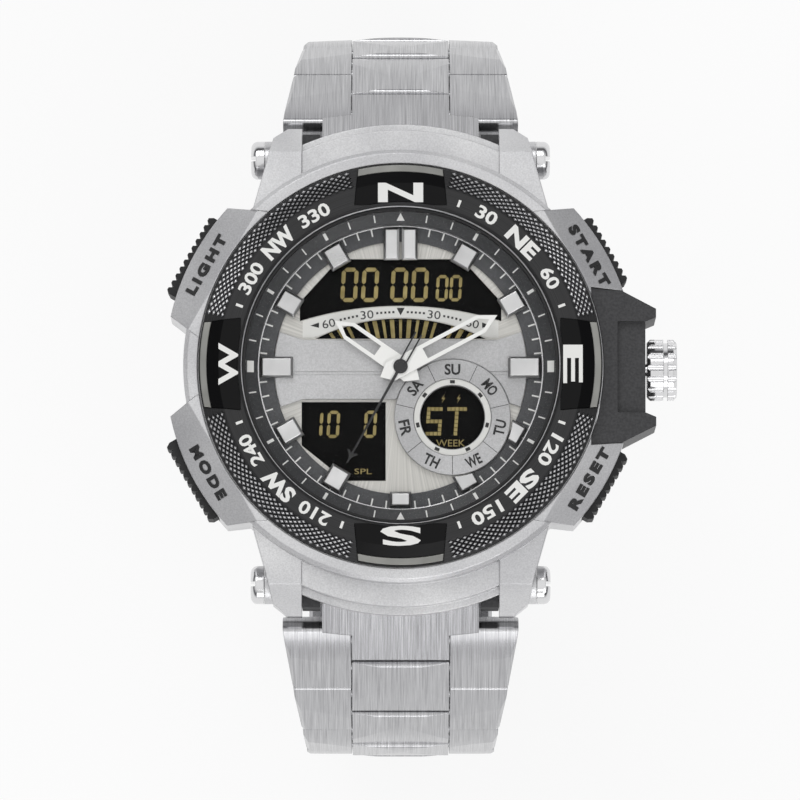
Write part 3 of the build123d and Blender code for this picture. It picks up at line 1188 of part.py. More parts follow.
def pipe_hand(length, low, pipe_radius, bore_radius, angle):
    """A hand on its pipe, turned to its place on the dial."""
    shape = hand_blade(length, low) + disc(pipe_radius, PIPE_BOTTOM, low + HAND_THICKNESS)
    shape -= disc(bore_radius, 0, DECK_HEIGHT + CUT_OVERRUN)
    return Pos(0, 0, CASE_LIFT) * Rot(0, 0, -angle) * shape


def second_hand():
    """The thin seconds hand with a forked tail, on its arbor."""
    plan = polygon([
        (-SECOND_HALF_WIDTH, 0), (SECOND_HALF_WIDTH, 0), (SECOND_HALF_WIDTH / 2, SECOND_LENGTH),
        (-SECOND_HALF_WIDTH / 2, SECOND_LENGTH),
    ])
    tail = rectangle(-SECOND_TAIL_HALF, SECOND_TAIL_HALF, -SECOND_TAIL, 0)
    gap = SECOND_TAIL_HALF - SECOND_HALF_WIDTH
    plan += tail - rectangle(-gap, gap, -SECOND_TAIL - CUT_OVERRUN, 0) + Circle(SECOND_HUB_RADIUS)
    shape = upward(plan, SECOND_HAND_HEIGHT, SECOND_HAND_HEIGHT + SECOND_THICKNESS)
    shape += disc(ARBOR_RADIUS, PIPE_BOTTOM, SECOND_HAND_HEIGHT + SECOND_THICKNESS)
    return Pos(0, 0, CASE_LIFT) * Rot(0, 0, -SECOND_ANGLE) * shape


# Movement and module

def module_frame():
    """The moulded frame that holds the movement, the battery and the stem's inner end."""
    shape = disc(MODULE_RADIUS, MODULE_BOTTOM, MODULE_TOP)
    shape -= disc(BATTERY_RADIUS + BATTERY_SLACK, 0, BATTERY_TOP + BATTERY_SLACK, BATTERY_X, BATTERY_Y)
    shape -= disc(MOVEMENT_RADIUS + MOVEMENT_SLACK, MOVEMENT_BOTTOM - SEAT_GAP, 2 * MODULE_TOP)
    half = STEM_SLOT_HALF
    slot = block(STEM_INNER_X - BODY_GAP, 2 * MODULE_RADIUS, -half, half, CROWN_HEIGHT - half, 2 * MODULE_TOP)
    shape -= slot
    shape -= disc(SPIGOT_RADIUS + SEAT_GAP, 0, SPIGOT_TOP + SEAT_GAP)
    return Pos(0, 0, CASE_LIFT) * shape


def movement():
    """The quartz movement, bored for the pipes of the hands."""
    shape = disc(MOVEMENT_RADIUS, MOVEMENT_BOTTOM, MOVEMENT_TOP)
    shape -= disc(HOUR_PIPE_RADIUS + RUN_FIT, PIPE_BOTTOM - SEAT_GAP, 2 * MOVEMENT_TOP)
    return Pos(0, 0, CASE_LIFT) * shape


def circuit_board():
    """The board over the movement, notched for the clip on the stem."""
    shape = ring(BOARD_RADIUS, BOARD_HOLE_RADIUS, BOARD_BOTTOM, BOARD_TOP)
    half = STEM_SLOT_HALF
    shape -= block(STEM_INNER_X - BODY_GAP, 2 * BOARD_RADIUS, -half, half, 0, 2 * BOARD_TOP)
    return Pos(0, 0, CASE_LIFT) * shape


def battery():
    shape = disc(BATTERY_RADIUS, BATTERY_BOTTOM, BATTERY_TOP, BATTERY_X, BATTERY_Y)
    edges = shape.edges().filter_by(GeomType.CIRCLE)
    return Pos(0, 0, CASE_LIFT) * chamfer(edges, BATTERY_SLACK)


def buzzer():
    low = BACK_THICKNESS + SEAT_GAP
    return Pos(0, 0, CASE_LIFT) * disc(BUZZER_RADIUS, low, low + BUZZER_THICKNESS)


# Export

def save(name, shape):
    """Writes one named piece, or a list of its solids, to its own file."""
    pieces = shape if isinstance(shape, list) else [shape]
    solids = [solid for piece in pieces for solid in piece.solids()]
    export_step(Compound(solids), f"parts/{name}.step")


def lower(shape):
    """The 6 o'clock copy of a piece, or of a list of pieces."""
    if isinstance(shape, list):
        return [mirror(one, about=Plane.XZ) for one in shape]
    return mirror(shape, about=Plane.XZ)


def pushers():
    """The four side buttons by place: those beside the crown are shorter."""
    right = pusher(PUSHER_CROWN_SIDE)
    left = mirror(pusher(PUSHER_FAR_SIDE), about=Plane.YZ)
    return {"pusher_two": right, "pusher_four": lower(right), "pusher_eight": lower(left), "pusher_ten": left}


def main():
    os.makedirs("parts", exist_ok=True)
    last = len(REST_TURNS) - 1
    for row in range(len(REST_TURNS)):
        save(f"upper_link_{row + 1}", link_row(row, with_bar=row == last))
        save(f"lower_link_{row + 1}", lower(link_row(row)))
    save("upper_end_link", end_link())
    save("lower_end_link", lower(end_link()))
    save("upper_lug_bar", lug_bar())
    save("lower_lug_bar", lower(lug_bar()))
    save("lug_screws", four_ways(lug_screw()))
    save("clasp_cover", clasp_cover())
    save("clasp_middle_blade", middle_blade())
    save("clasp_base_blade", base_blade())
    right_button, left_button = both_sides(clasp_button())
    save("clasp_button_right", right_button)
    save("clasp_button_left", left_button)
    save("case_shell", case_shell())
    save("case_core", case_core())
    save("crown_block", crown_block())
    save("case_back", case_back())
    save("case_back_screws", back_screws())
    save("case_back_gasket", back_gasket())
    save("crown", crown())
    save("crown_stem", crown_stem())
    save("stem_retainer", stem_retainer())
    save("crown_tube", crown_tube())
    for name, shape in pushers().items():
        save(name, shape)
    save("pusher_springs", four_ways(pusher_spring()))
    save("bezel_ring", bezel_ring())
    save("bezel_plates", bezel_plates())
    save("bezel_strips", bezel_strips())
    save("crystal", crystal())
    save("crystal_gasket", crystal_gasket())
    save("chapter_ring", chapter_ring())
    save("dial_flange", dial_flange())
    save("dial_plate", dial_plate())
    save("dial_bridge", dial_bridge())
    save("weekday_ring", weekday_ring())
    save("hour_markers", hour_markers())
    save("display_panels", display_panels())
    hour_bore = MINUTE_PIPE_RADIUS + RUN_FIT
    minute_bore = ARBOR_RADIUS + RUN_FIT
    hour = pipe_hand(HOUR_LENGTH, HOUR_HAND_HEIGHT, HOUR_PIPE_RADIUS, hour_bore, HOUR_ANGLE)
    minute = pipe_hand(MINUTE_LENGTH, MINUTE_HAND_HEIGHT, MINUTE_PIPE_RADIUS, minute_bore, MINUTE_ANGLE)
    save("hour_hand", hour)
    save("minute_hand", minute)
    save("second_hand", second_hand())
    save("module_frame", module_frame())
    save("quartz_movement", movement())
    save("circuit_board", circuit_board())
    save("battery_cell", battery())
    save("buzzer_disc", buzzer())


main()
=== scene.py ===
"""Dresses a steel wristwatch: metals, rubber, printing, displays, knurling and a plain stage."""

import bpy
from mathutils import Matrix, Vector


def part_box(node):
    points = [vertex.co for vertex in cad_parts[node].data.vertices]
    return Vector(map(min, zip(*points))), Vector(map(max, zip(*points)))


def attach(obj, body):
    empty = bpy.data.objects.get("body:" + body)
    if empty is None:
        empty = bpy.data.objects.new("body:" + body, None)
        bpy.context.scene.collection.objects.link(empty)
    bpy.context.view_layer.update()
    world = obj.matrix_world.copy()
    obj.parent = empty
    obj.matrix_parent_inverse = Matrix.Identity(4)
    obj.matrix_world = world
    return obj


bl_info = {
    "name": "Ana Digi Watch",
    "version": (1, 0, 0),
    "blender": (4, 5, 0),
    "location": "View3D > Sidebar > Watch",
    "description": "Finishes and printing for a wristwatch on a steel bracelet",
    "category": "Object",
}

from math import atan2, cos, degrees, pi, radians, sin

import bmesh
import bpy
from mathutils import Matrix, Vector

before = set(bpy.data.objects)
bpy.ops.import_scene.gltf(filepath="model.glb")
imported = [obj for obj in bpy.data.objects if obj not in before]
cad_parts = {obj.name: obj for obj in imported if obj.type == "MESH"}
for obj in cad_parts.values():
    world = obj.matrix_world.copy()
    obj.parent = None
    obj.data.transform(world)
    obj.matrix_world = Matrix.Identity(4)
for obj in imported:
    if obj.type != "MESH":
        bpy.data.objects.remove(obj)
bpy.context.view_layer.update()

MM = 0.001
# The outer face of the case back, in metres: heights in the case are measured from here
BACK_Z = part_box("case_back")[0].z

# The lengths below are in millimetres and the clock angles in degrees, about the hands' centre
# The size of a mark is its width and length, and the size of a word is its height and width

# Heights of the faces that carry marks
BEZEL_TOP = 15.9
BEZEL_PLATE_TOP = BEZEL_TOP + 0.1
TRACK_FOOT = 12.8
WEEK_RING_TOP = 12.1
WEEK_STEP_TOP = 11.9
FLANGE_TOP = 11.7
DIAL_TOP = 11.3
DISPLAY_TOP = 10.8

# How far lacquer and print stand above their face, and how far fine marks and lit segments do
PRINT_DEPTH = 0.03
PRINT_LIFT = 0.02


def height(above_back):
    """A height in the case, in metres in the row frame."""
    return BACK_Z + above_back * MM


# Colours and materials

def linear(hex_colour):
    """Turns an sRGB hex value into Blender's linear colour, by the standard's own formula."""
    parts = [int(hex_colour[i:i + 2], 16) / 255 for i in (1, 3, 5)]
    return tuple(p / 12.92 if p <= 0.04045 else ((p + 0.055) / 1.055) ** 2.4 for p in parts) + (1.0,)


def add_node(tree, kind, settings=None, links=None, place=(0, 0), stops=()):
    """Adds one node, sets its fields and sockets, links sockets of earlier nodes into it, and fills its
    colour ramp with stops of (position, hex colour), from low to high."""
    node = tree.nodes.new(kind)
    node.location = place
    for key, value in (settings or {}).items():
        if key in node.inputs:
            node.inputs[key].default_value = value
        else:
            setattr(node, key, value)
    for socket, source in (links or {}).items():
        tree.links.new(source, node.inputs[socket])
    for index, (position, colour) in enumerate(stops):
        elements = node.color_ramp.elements
        element = elements[index] if index < len(elements) else elements.new(position)
        element.position = position
        element.color = linear(colour)
    return node


def new_material(name, **values):
    """A material with one Principled surface, whose sockets take the given values."""
    material = bpy.data.materials.new(name)
    material.use_nodes = True
    shader = material.node_tree.nodes["Principled BSDF"]
    for key, value in values.items():
        shader.inputs[key.replace("_", " ")].default_value = value
    return material, material.node_tree, shader


def patterned(name, **values):
    """A new material, with the object's own coordinates to lay its pattern in."""
    material, tree, shader = new_material(name, **values)
    coords = add_node(tree, "ShaderNodeTexCoord", place=(-1300, 0))
    return material, tree, shader, coords.outputs["Object"]


def paint(node_name, material):
    """Gives a CAD node one material."""
    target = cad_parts[node_name]
    target.data.materials.clear()
    target.data.materials.append(material)


def add_relief(tree, shader, texture, edge_mm, strength, depth_mm):
    """Raises a texture a little from its surface, and shows sharp edges slightly rounded."""
    bevel = add_node(tree, "ShaderNodeBevel", {"Radius": edge_mm * MM, "samples": 4}, place=(-600, -400))
    bump = add_node(tree, "ShaderNodeBump", {"Strength": strength, "Distance": depth_mm * MM},
                    {"Height": texture.outputs["Fac"], "Normal": bevel.outputs["Normal"]}, (-300, -250))
    tree.links.new(bump.outputs["Normal"], shader.inputs["Normal"])


def blasted_steel(name, dark, light, roughness, grit_mm, strength):
    """Bead-blasted stainless steel: an even pale grey with a fine sparkle of dents from the beads.
    Real beads leave dents of about 0.1 mm; they are drawn a little coarser so that they show."""
    material, tree, shader, spot = patterned(name, Metallic=1.0, Roughness=roughness)
    grit = add_node(tree, "ShaderNodeTexNoise",
                    {"Scale": 1 / (grit_mm * MM), "Detail": 2.0, "Roughness": 0.6},
                    {"Vector": spot}, (-900, -100))
    cloud = add_node(tree, "ShaderNodeTexNoise", {"Scale": 1 / (9 * MM), "Detail": 1.0},
                     {"Vector": spot}, (-900, 200))
    tone = add_node(tree, "ShaderNodeValToRGB", links={"Fac": cloud.outputs["Fac"]}, place=(-650, 200),
                    stops=[(0.3, dark), (0.7, light)])
    fleck = add_node(tree, "ShaderNodeValToRGB", links={"Fac": grit.outputs["Fac"]}, place=(-650, -50),
                     stops=[(0.35, "#E6E6E6"), (0.65, "#FFFFFF")])
    mixed = add_node(tree, "ShaderNodeMix", {"data_type": "RGBA", "blend_type": "MULTIPLY"},
                     place=(-350, 150))
    # Input 0 is how much the flecks count, and inputs 6 and 7 are the two colours
    mixed.inputs[0].default_value = 0.8
    tree.links.new(tone.outputs["Color"], mixed.inputs[6])
    tree.links.new(fleck.outputs["Color"], mixed.inputs[7])
    tree.links.new(mixed.outputs[2], shader.inputs["Base Color"])
    add_relief(tree, shader, grit, edge_mm=0.16, strength=strength, depth_mm=0.02)
    return material


def brushed_steel(name, dark, light, roughness, along, line_mm=0.09):
    """Brushed stainless steel: long parallel scratches from a belt, which stretch the highlights across them.
    A belt leaves lines of 0.02 to 0.05 mm; they are drawn about twice as wide so that they show."""
    material, tree, shader, spot = patterned(name, Metallic=1.0, Roughness=roughness)
    fine = 1 / (line_mm * MM)
    coarse = 1 / (7 * MM)
    scale = tuple(coarse if axis in along else fine for axis in "xyz")
    stretch = add_node(tree, "ShaderNodeMapping", {"Scale": scale}, {"Vector": spot}, (-1100, 0))
    lines = add_node(tree, "ShaderNodeTexNoise", {"Scale": 1.0, "Detail": 3.0, "Roughness": 0.65},
                     {"Vector": stretch.outputs["Vector"]}, (-900, 0))
    tone = add_node(tree, "ShaderNodeValToRGB", links={"Fac": lines.outputs["Fac"]}, place=(-600, 150),
                    stops=[(0.3, dark), (0.7, light)])
    tree.links.new(tone.outputs["Color"], shader.inputs["Base Color"])
    rough = add_node(tree, "ShaderNodeMapRange",
                     {"From Min": 0.3, "From Max": 0.7,
                      "To Min": roughness - 0.03, "To Max": roughness + 0.05},
                     {"Value": lines.outputs["Fac"]}, (-600, -100))
    tree.links.new(rough.outputs["Result"], shader.inputs["Roughness"])
    add_relief(tree, shader, lines, edge_mm=0.14, strength=0.1, depth_mm=0.01)
    return material


def knurled_steel(name, shaded_groove, crest):
    """Knurled black-chromed steel, with painted shade and highlight: the tone is darkened in the grooves as
    painted shade and brightened to white on the points as a painted highlight.
    """
    material, tree, shader, spot = patterned(name, Metallic=1.0, Roughness=0.22)
    rise = add_node(tree, "ShaderNodeAttribute", {"attribute_name": "rise"}, place=(-900, 100))
    # The rise, 0 at each point's foot and 1 at its tip, sets painted shade low in the grooves and a painted
    # highlight at the tips
    tone = add_node(tree, "ShaderNodeValToRGB", links={"Fac": rise.outputs["Fac"]}, place=(-600, 100),
                    stops=[(0.0, shaded_groove), (0.45, "#8C8C8E"), (0.9, crest)])
    wear = add_node(tree, "ShaderNodeTexNoise", {"Scale": 1 / (0.4 * MM), "Detail": 2.0},
                    {"Vector": spot}, (-700, -200))
    rough = add_node(tree, "ShaderNodeMapRange", {"To Min": 0.15, "To Max": 0.35},
                     {"Value": wear.outputs["Fac"]}, (-450, -200))
    tree.links.new(tone.outputs["Color"], shader.inputs["Base Color"])
    tree.links.new(rough.outputs["Result"], shader.inputs["Roughness"])
    return material


def polished_steel(name, colour, roughness):
    """Polished stainless steel: a mirror with faint wipe marks, seen as small shifts in its roughness."""
    material, tree, shader, spot = patterned(name, Metallic=1.0, Base_Color=linear(colour),
                                             Roughness=roughness)
    wipe = add_node(tree, "ShaderNodeTexNoise", {"Scale": 1 / (2.5 * MM), "Detail": 3.0},
                    {"Vector": spot}, (-700, 0))
    rough = add_node(tree, "ShaderNodeMapRange", {"To Min": roughness * 0.6, "To Max": roughness * 1.6},
                     {"Value": wipe.outputs["Fac"]}, (-450, 0))
    tree.links.new(rough.outputs["Result"], shader.inputs["Roughness"])
    bevel = add_node(tree, "ShaderNodeBevel", {"Radius": 0.1 * MM, "samples": 4}, place=(-450, -300))
    tree.links.new(bevel.outputs["Normal"], shader.inputs["Normal"])
    return material


def moulded_resin(name, dark, light, roughness, grain_mm, strength):
    """Moulded resin or rubber: spark-eroded mould texture, which breaks the gloss into a soft sheen.
    A coarser and weaker grain stands for the weave under a board's solder mask."""
    material, tree, shader, spot = patterned(name, Roughness=roughness, IOR=1.5)
    grain = add_node(tree, "ShaderNodeTexNoise", {"Scale": 1 / (grain_mm * MM), "Detail": 3.0},
                     {"Vector": spot}, (-800, 0))
    tone = add_node(tree, "ShaderNodeValToRGB", links={"Fac": grain.outputs["Fac"]}, place=(-500, 150),
                    stops=[(0.35, dark), (0.65, light)])
    tree.links.new(tone.outputs["Color"], shader.inputs["Base Color"])
    add_relief(tree, shader, grain, edge_mm=0.12, strength=strength, depth_mm=0.02)
    return material


def enamel(name, colour, roughness, coat=0.0, gloss=0.5):
    """Baked enamel, printing ink or a display's polariser: an even pigment under a thin smooth skin."""
    material, tree, shader, spot = patterned(
        name, Base_Color=linear(colour), Roughness=roughness, Coat_Weight=coat, Specular_IOR_Level=gloss
    )
    skin = add_node(tree, "ShaderNodeTexNoise", {"Scale": 1 / (0.3 * MM), "Detail": 2.0},
                    {"Vector": spot}, (-600, 0))
    bump = add_node(tree, "ShaderNodeBump", {"Strength": 0.06, "Distance": 0.01 * MM},
                    {"Height": skin.outputs["Fac"]}, (-300, -200))
    tree.links.new(bump.outputs["Normal"], shader.inputs["Normal"])
    return material


def display_amber(name, colour):
    """Liquid-crystal digits in a negative display: the amber backing shows through the open segments."""
    material, tree, shader, spot = patterned(name, Roughness=0.45, Base_Color=linear(colour))
    backing = add_node(tree, "ShaderNodeTexNoise", {"Scale": 1 / (0.8 * MM), "Detail": 2.0},
                       {"Vector": spot}, (-600, 0))
    tone = add_node(tree, "ShaderNodeValToRGB", links={"Fac": backing.outputs["Fac"]}, place=(-350, 0),
                    stops=[(0.3, "#86773F"), (0.7, colour)])
    tree.links.new(tone.outputs["Color"], shader.inputs["Base Color"])
    return material


def mineral_glass(name):
    """Flat mineral glass with an anti-reflection coating: clear, with faint wipe marks in its gloss. Its low
    index stands for the coating, which leaves the displays behind it black; most light passes straight
    through."""
    material, tree, shader, spot = patterned(
        name, Base_Color=linear("#FFFFFF"), IOR=1.2, Transmission_Weight=1.0, Alpha=0.06
    )
    wipe = add_node(tree, "ShaderNodeTexNoise", {"Scale": 1 / (3 * MM), "Detail": 2.0},
                    {"Vector": spot}, (-600, 0))
    rough = add_node(tree, "ShaderNodeMapRange", {"To Min": 0.01, "To Max": 0.03},
                     {"Value": wipe.outputs["Fac"]}, (-350, 0))
    tree.links.new(rough.outputs["Result"], shader.inputs["Roughness"])
    return material


def pearl_silver(name, dark, light, rays):
    """Sunray-brushed silver plate: fine scratches that run out from the centre under clear lacquer."""
    material, tree, shader, spot = patterned(name, Metallic=0.55, Roughness=0.42)
    parts = add_node(tree, "ShaderNodeSeparateXYZ", links={"Vector": spot}, place=(-1150, 0))
    angle = add_node(tree, "ShaderNodeMath", {"operation": "ARCTAN2"},
                     {0: parts.outputs["Y"], 1: parts.outputs["X"]}, (-1000, 0))
    spokes = add_node(tree, "ShaderNodeTexNoise", {"noise_dimensions": "1D", "Scale": rays, "Detail": 3.0},
                      {"W": angle.outputs["Value"]}, (-800, 0))
    tone = add_node(tree, "ShaderNodeValToRGB", links={"Fac": spokes.outputs["Fac"]}, place=(-500, 0),
                    stops=[(0.3, dark), (0.7, light)])
    tree.links.new(tone.outputs["Color"], shader.inputs["Base Color"])
    return material


def number_ring_black(name, dark, light):
    """Black-plated steel of the bezel: a matt plating over fine turning lines."""
    material, tree, shader, spot = patterned(name, Metallic=0.35, Roughness=0.5)
    parts = add_node(tree, "ShaderNodeSeparateXYZ", links={"Vector": spot}, place=(-1050, 0))
    flat = add_node(tree, "ShaderNodeCombineXYZ", links={"X": parts.outputs["X"], "Y": parts.outputs["Y"]},
                    place=(-900, 0))
    reach = add_node(tree, "ShaderNodeVectorMath", {"operation": "LENGTH"}, {0: flat.outputs["Vector"]},
                     (-750, 0))
    lines = add_node(tree, "ShaderNodeTexNoise",
                     {"noise_dimensions": "1D", "Scale": 1 / (0.12 * MM), "Detail": 2.0},
                     {"W": reach.outputs["Value"]}, (-600, 0))
    tone = add_node(tree, "ShaderNodeValToRGB", links={"Fac": lines.outputs["Fac"]}, place=(-350, 100),
                    stops=[(0.3, dark), (0.7, light)])
    tree.links.new(tone.outputs["Color"], shader.inputs["Base Color"])
    bevel = add_node(tree, "ShaderNodeBevel", {"Radius": 0.12 * MM, "samples": 4}, place=(-350, -300))
    tree.links.new(bevel.outputs["Normal"], shader.inputs["Normal"])
    return material


# Meshes

# The built-in font's capitals are this share of its size; its curves and the rings have so many steps
CAPITAL_SHARE = 0.73
CURVE_STEPS = 3
RING_STEPS = 120


def mesh_piece(name, bm, material, body):
    """Turns built geometry into a named piece on one body, with its faces turned outward."""
    mesh = bpy.data.meshes.new(name)
    bmesh.ops.recalc_face_normals(bm, faces=bm.faces)
    bm.to_mesh(mesh)
    bm.free()
    mesh.materials.append(material)
    piece = bpy.data.objects.new(name, mesh)
    bpy.context.scene.collection.objects.link(piece)
    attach(piece, body)


def add_plate(bm, outline, low, high, place=Matrix()):
    """A flat plate with straight sides from an outline."""
    bottom = [bm.verts.new(place @ Vector((x * MM, y * MM, low * MM))) for x, y in outline]
    top = [bm.verts.new(place @ Vector((x * MM, y * MM, high * MM))) for x, y in outline]
    bm.faces.new(top)
    bm.faces.new(list(reversed(bottom)))
    for i in range(len(outline)):
        j = (i + 1) % len(outline)
        bm.faces.new([bottom[i], bottom[j], top[j], top[i]])


def rectangle(width, length, x=0.0, y=0.0):
    """A rectangle's outline about a point."""
    return [(x - width / 2, y - length / 2), (x + width / 2, y - length / 2),
            (x + width / 2, y + length / 2), (x - width / 2, y + length / 2)]


def clock_place(angle, radius, z, tilt=0.0, flip=False):
    """Places flat work at a clock angle and a radius, with z in metres: its top points outward.
    Tilt leans it down towards the outside, and flip turns its top inward."""
    place = Matrix.Translation((0, 0, z)) @ Matrix.Rotation(radians(-angle), 4, "Z")
    place = place @ Matrix.Translation((0, radius * MM, 0)) @ Matrix.Rotation(radians(-tilt), 4, "X")
    if flip:
        place = place @ Matrix.Rotation(pi, 4, "Z")
    return place


def add_word(bm, text, place, tall, wide, weight=0.0, depth=PRINT_DEPTH, spread=1.0):
    """Adds a word as thin raised print, centred, with its capitals so tall and the word so wide.
    Weight thickens its strokes, and spread sets its letters apart."""
    curve = bpy.data.curves.new("word", "FONT")
    curve.body = text
    curve.align_x = "CENTER"
    curve.resolution_u = CURVE_STEPS
    curve.size = tall / CAPITAL_SHARE
    curve.offset = weight
    curve.space_character = spread
    curve.extrude = depth / 2
    holder = bpy.data.objects.new("word", curve)
    bpy.context.scene.collection.objects.link(holder)
    mesh = bpy.data.meshes.new_from_object(holder.evaluated_get(bpy.context.evaluated_depsgraph_get()))
    edges = [vertex.co.x for vertex in mesh.vertices]
    stretch = wide / (max(edges) - min(edges))
    shift = Matrix.Translation((-(max(edges) + min(edges)) / 2, -tall / 2, depth / 2))
    mesh.transform(place @ Matrix.Diagonal((MM * stretch, MM, MM, 1)) @ shift)
    bm.from_mesh(mesh)
    bpy.data.meshes.remove(mesh)
    bpy.data.objects.remove(holder)
    bpy.data.curves.remove(curve)


def annulus(bm, outer, inner, low, high, place=Matrix()):
    """A flat ring."""
    loops = []
    for i in range(RING_STEPS):
        angle = radians(360 * i / RING_STEPS)
        loops.append([bm.verts.new(place @ Vector((r * sin(angle) * MM, r * cos(angle) * MM, z * MM)))
                      for r, z in ((inner, low), (outer, low), (outer, high), (inner, high))])
    for first, second in zip(loops, loops[1:] + loops[:1]):
        for k in range(4):
            bm.faces.new([first[k], first[(k + 1) % 4], second[(k + 1) % 4], second[k]])


# The segments that are lit for each digit, so that the displays can be set to any time
SEGMENTS = {
    "0": "abcdef", "1": "bc", "2": "abged", "3": "abgcd", "4": "fgbc", "5": "afgcd", "6": "afgedc",
    "7": "abc", "8": "abcdefg", "9": "abcdfg",
}
# The gap at a segment's ends as a share of its bar, and how far a digit leans for each millimetre of height
SEGMENT_GAP_SHARE = 0.12
DIGIT_LEAN = 0.06


def segment_outline(letter, width, tall, bar):
    """One segment of a digit as a pointed bar, about the digit's centre."""
    half, up, gap, b = width / 2 - bar / 2, tall / 2 - bar / 2, bar * SEGMENT_GAP_SHARE, bar / 2
    ends = {
        "a": ((-half, up), (half, up)), "g": ((-half, 0), (half, 0)), "d": ((-half, -up), (half, -up)),
        "f": ((-half, 0), (-half, up)), "b": ((half, 0), (half, up)),
        "e": ((-half, -up), (-half, 0)), "c": ((half, -up), (half, 0)),
    }
    (x0, y0), (x1, y1) = ends[letter]
    if y0 == y1:
        x0, x1 = x0 + gap, x1 - gap
        return [(x0, y0), (x0 + b, y0 - b), (x1 - b, y0 - b), (x1, y0), (x1 - b, y0 + b), (x0 + b, y0 + b)]
    y0, y1 = y0 + gap, y1 - gap
    return [(x0, y0), (x0 + b, y0 + b), (x0 + b, y1 - b), (x0, y1), (x0 - b, y1 - b), (x0 - b, y0 + b)]


def add_digit(bm, character, x, y, width, tall, bar, z):
    """A seven-segment character on a display cell, leaning a little to the right."""
    for letter in SEGMENTS[character]:
        outline = [(x + a + DIGIT_LEAN * b, y + b) for a, b in segment_outline(letter, width, tall, bar)]
        add_plate(bm, outline, 0, PRINT_LIFT, Matrix.Translation((0, 0, z)))


# Settings that a user would change

class WatchColours(bpy.types.PropertyGroup):
    """Colours, as sRGB hex values."""
    case_light: bpy.props.StringProperty(
        name="Case light", description="Lighter tone of the case", default="#DEDEDF")
    case_dark: bpy.props.StringProperty(
        name="Case dark", description="Darker tone of the case", default="#C8C8CA")
    link_light: bpy.props.StringProperty(
        name="Link light", description="Lighter bracelet line", default="#CCCCCE")
    link_dark: bpy.props.StringProperty(
        name="Link dark", description="Darker bracelet line", default="#949496")
    resin_light: bpy.props.StringProperty(
        name="Resin light", description="Lighter resin grain", default="#3A3A3C")
    resin_dark: bpy.props.StringProperty(
        name="Resin dark", description="Darker resin grain", default="#29292B")
    rubber: bpy.props.StringProperty(
        name="Rubber", description="Button rubber", default="#1E1E1F")
    ring_light: bpy.props.StringProperty(
        name="Ring light", description="Lighter line of the ring", default="#303031")
    ring_dark: bpy.props.StringProperty(
        name="Ring dark", description="Darker line of the ring", default="#222223")
    track: bpy.props.StringProperty(
        name="Minute track", description="Track under the crystal", default="#2C2D2F")
    print_white: bpy.props.StringProperty(
        name="White print", description="Numbers and letters", default="#E9E9E6")
    print_black: bpy.props.StringProperty(
        name="Black print", description="Words on silver", default="#1B1B1C")
    amber: bpy.props.StringProperty(
        name="Display amber", description="Lit display segments", default="#A8985E")


class WatchSizes(bpy.types.PropertyGroup):
    """Sizes of the printing and the knurling, in millimetres."""
    knurl_pitch: bpy.props.FloatProperty(
        name="Knurl pitch", description="Width of one diamond of the knurl",
        default=0.8, min=0.3, max=1.5)
    knurl_height: bpy.props.FloatProperty(
        name="Knurl height", description="Height of the diamonds",
        default=0.26, min=0.02, max=0.4)
    bezel_number: bpy.props.FloatProperty(
        name="Bezel number height", description="Height of the degree numbers",
        default=1.35, min=0.5, max=2.5)
    bezel_letter: bpy.props.FloatProperty(
        name="Bezel letter height", description="Height of the two-letter points",
        default=1.6, min=0.5, max=2.5)
    cardinal_letter: bpy.props.FloatProperty(
        name="Cardinal letter height", description="Height of N, E, S and W",
        default=2.0, min=0.5, max=3.5)
    button_word: bpy.props.FloatProperty(
        name="Button word height", description="Height of the words on the guards",
        default=1.05, min=0.5, max=2.5)


def colours():
    """The scene's colour settings."""
    return bpy.context.scene.watch_colours


def sizes():
    """The scene's size settings."""
    return bpy.context.scene.watch_sizes


def kept_material(name, maker, *tones, **finish):
    """A material by name, made once."""
    return bpy.data.materials.get(name) or maker(name, *tones, **finish)


def white_print():
    """The white ink of the bezel and the minute track."""
    return kept_material("White pad-printed enamel", enamel, colours().print_white, roughness=0.4)


def black_print():
    """The black ink of the dial and the button guards."""
    return kept_material("Black pad-printed enamel", enamel, colours().print_black, roughness=0.45)


def bright_steel():
    """The bright finish of the screws, bars, crown and small parts."""
    return kept_material("Polished stainless steel", polished_steel, "#DADADB", roughness=0.12)


# Operators, one for each group of pieces

class WATCH_OT_case(bpy.types.Operator):
    """Finishes the case, its core, its screws and the crown"""
    bl_idname = "watch.case"
    bl_label = "Case and crown"

    def execute(self, context):
        c = colours()
        rubber = moulded_resin("Moulded nitrile rubber", "#151516", c.rubber, roughness=0.62, grain_mm=0.2,
                               strength=0.4)
        steel = blasted_steel("Bead-blasted stainless steel", c.case_dark, c.case_light, roughness=0.34,
                              grit_mm=0.16, strength=0.3)
        resin = moulded_resin("Moulded black resin", c.resin_dark, c.resin_light, roughness=0.5,
                              grain_mm=0.25, strength=0.35)
        for name in ("case_shell", "case_back"):
            paint(name, steel)
        for name in ("case_core", "crown_block", "module_frame"):
            paint(name, resin)
        for name in ("lug_screws", "upper_lug_bar", "lower_lug_bar", "case_back_screws", "crown",
                     "crown_stem", "stem_retainer", "crown_tube", "pusher_springs"):
            paint(name, bright_steel())
        for name in ("pusher_two", "pusher_four", "pusher_eight", "pusher_ten", "case_back_gasket",
                     "crystal_gasket"):
            paint(name, rubber)
        return {"FINISHED"}


class WATCH_OT_bracelet(bpy.types.Operator):
    """Finishes the links and the clasp"""
    bl_idname = "watch.bracelet"
    bl_label = "Bracelet and clasp"

    def execute(self, context):
        c = colours()
        links = brushed_steel("Brushed stainless steel", c.link_dark, c.link_light, roughness=0.2, along="yz",
                              line_mm=0.06)
        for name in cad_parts:
            if "link" in name or name.startswith("clasp"):
                paint(name, links)
        for name in ("clasp_button_right", "clasp_button_left"):
            paint(name, bright_steel())
        return {"FINISHED"}


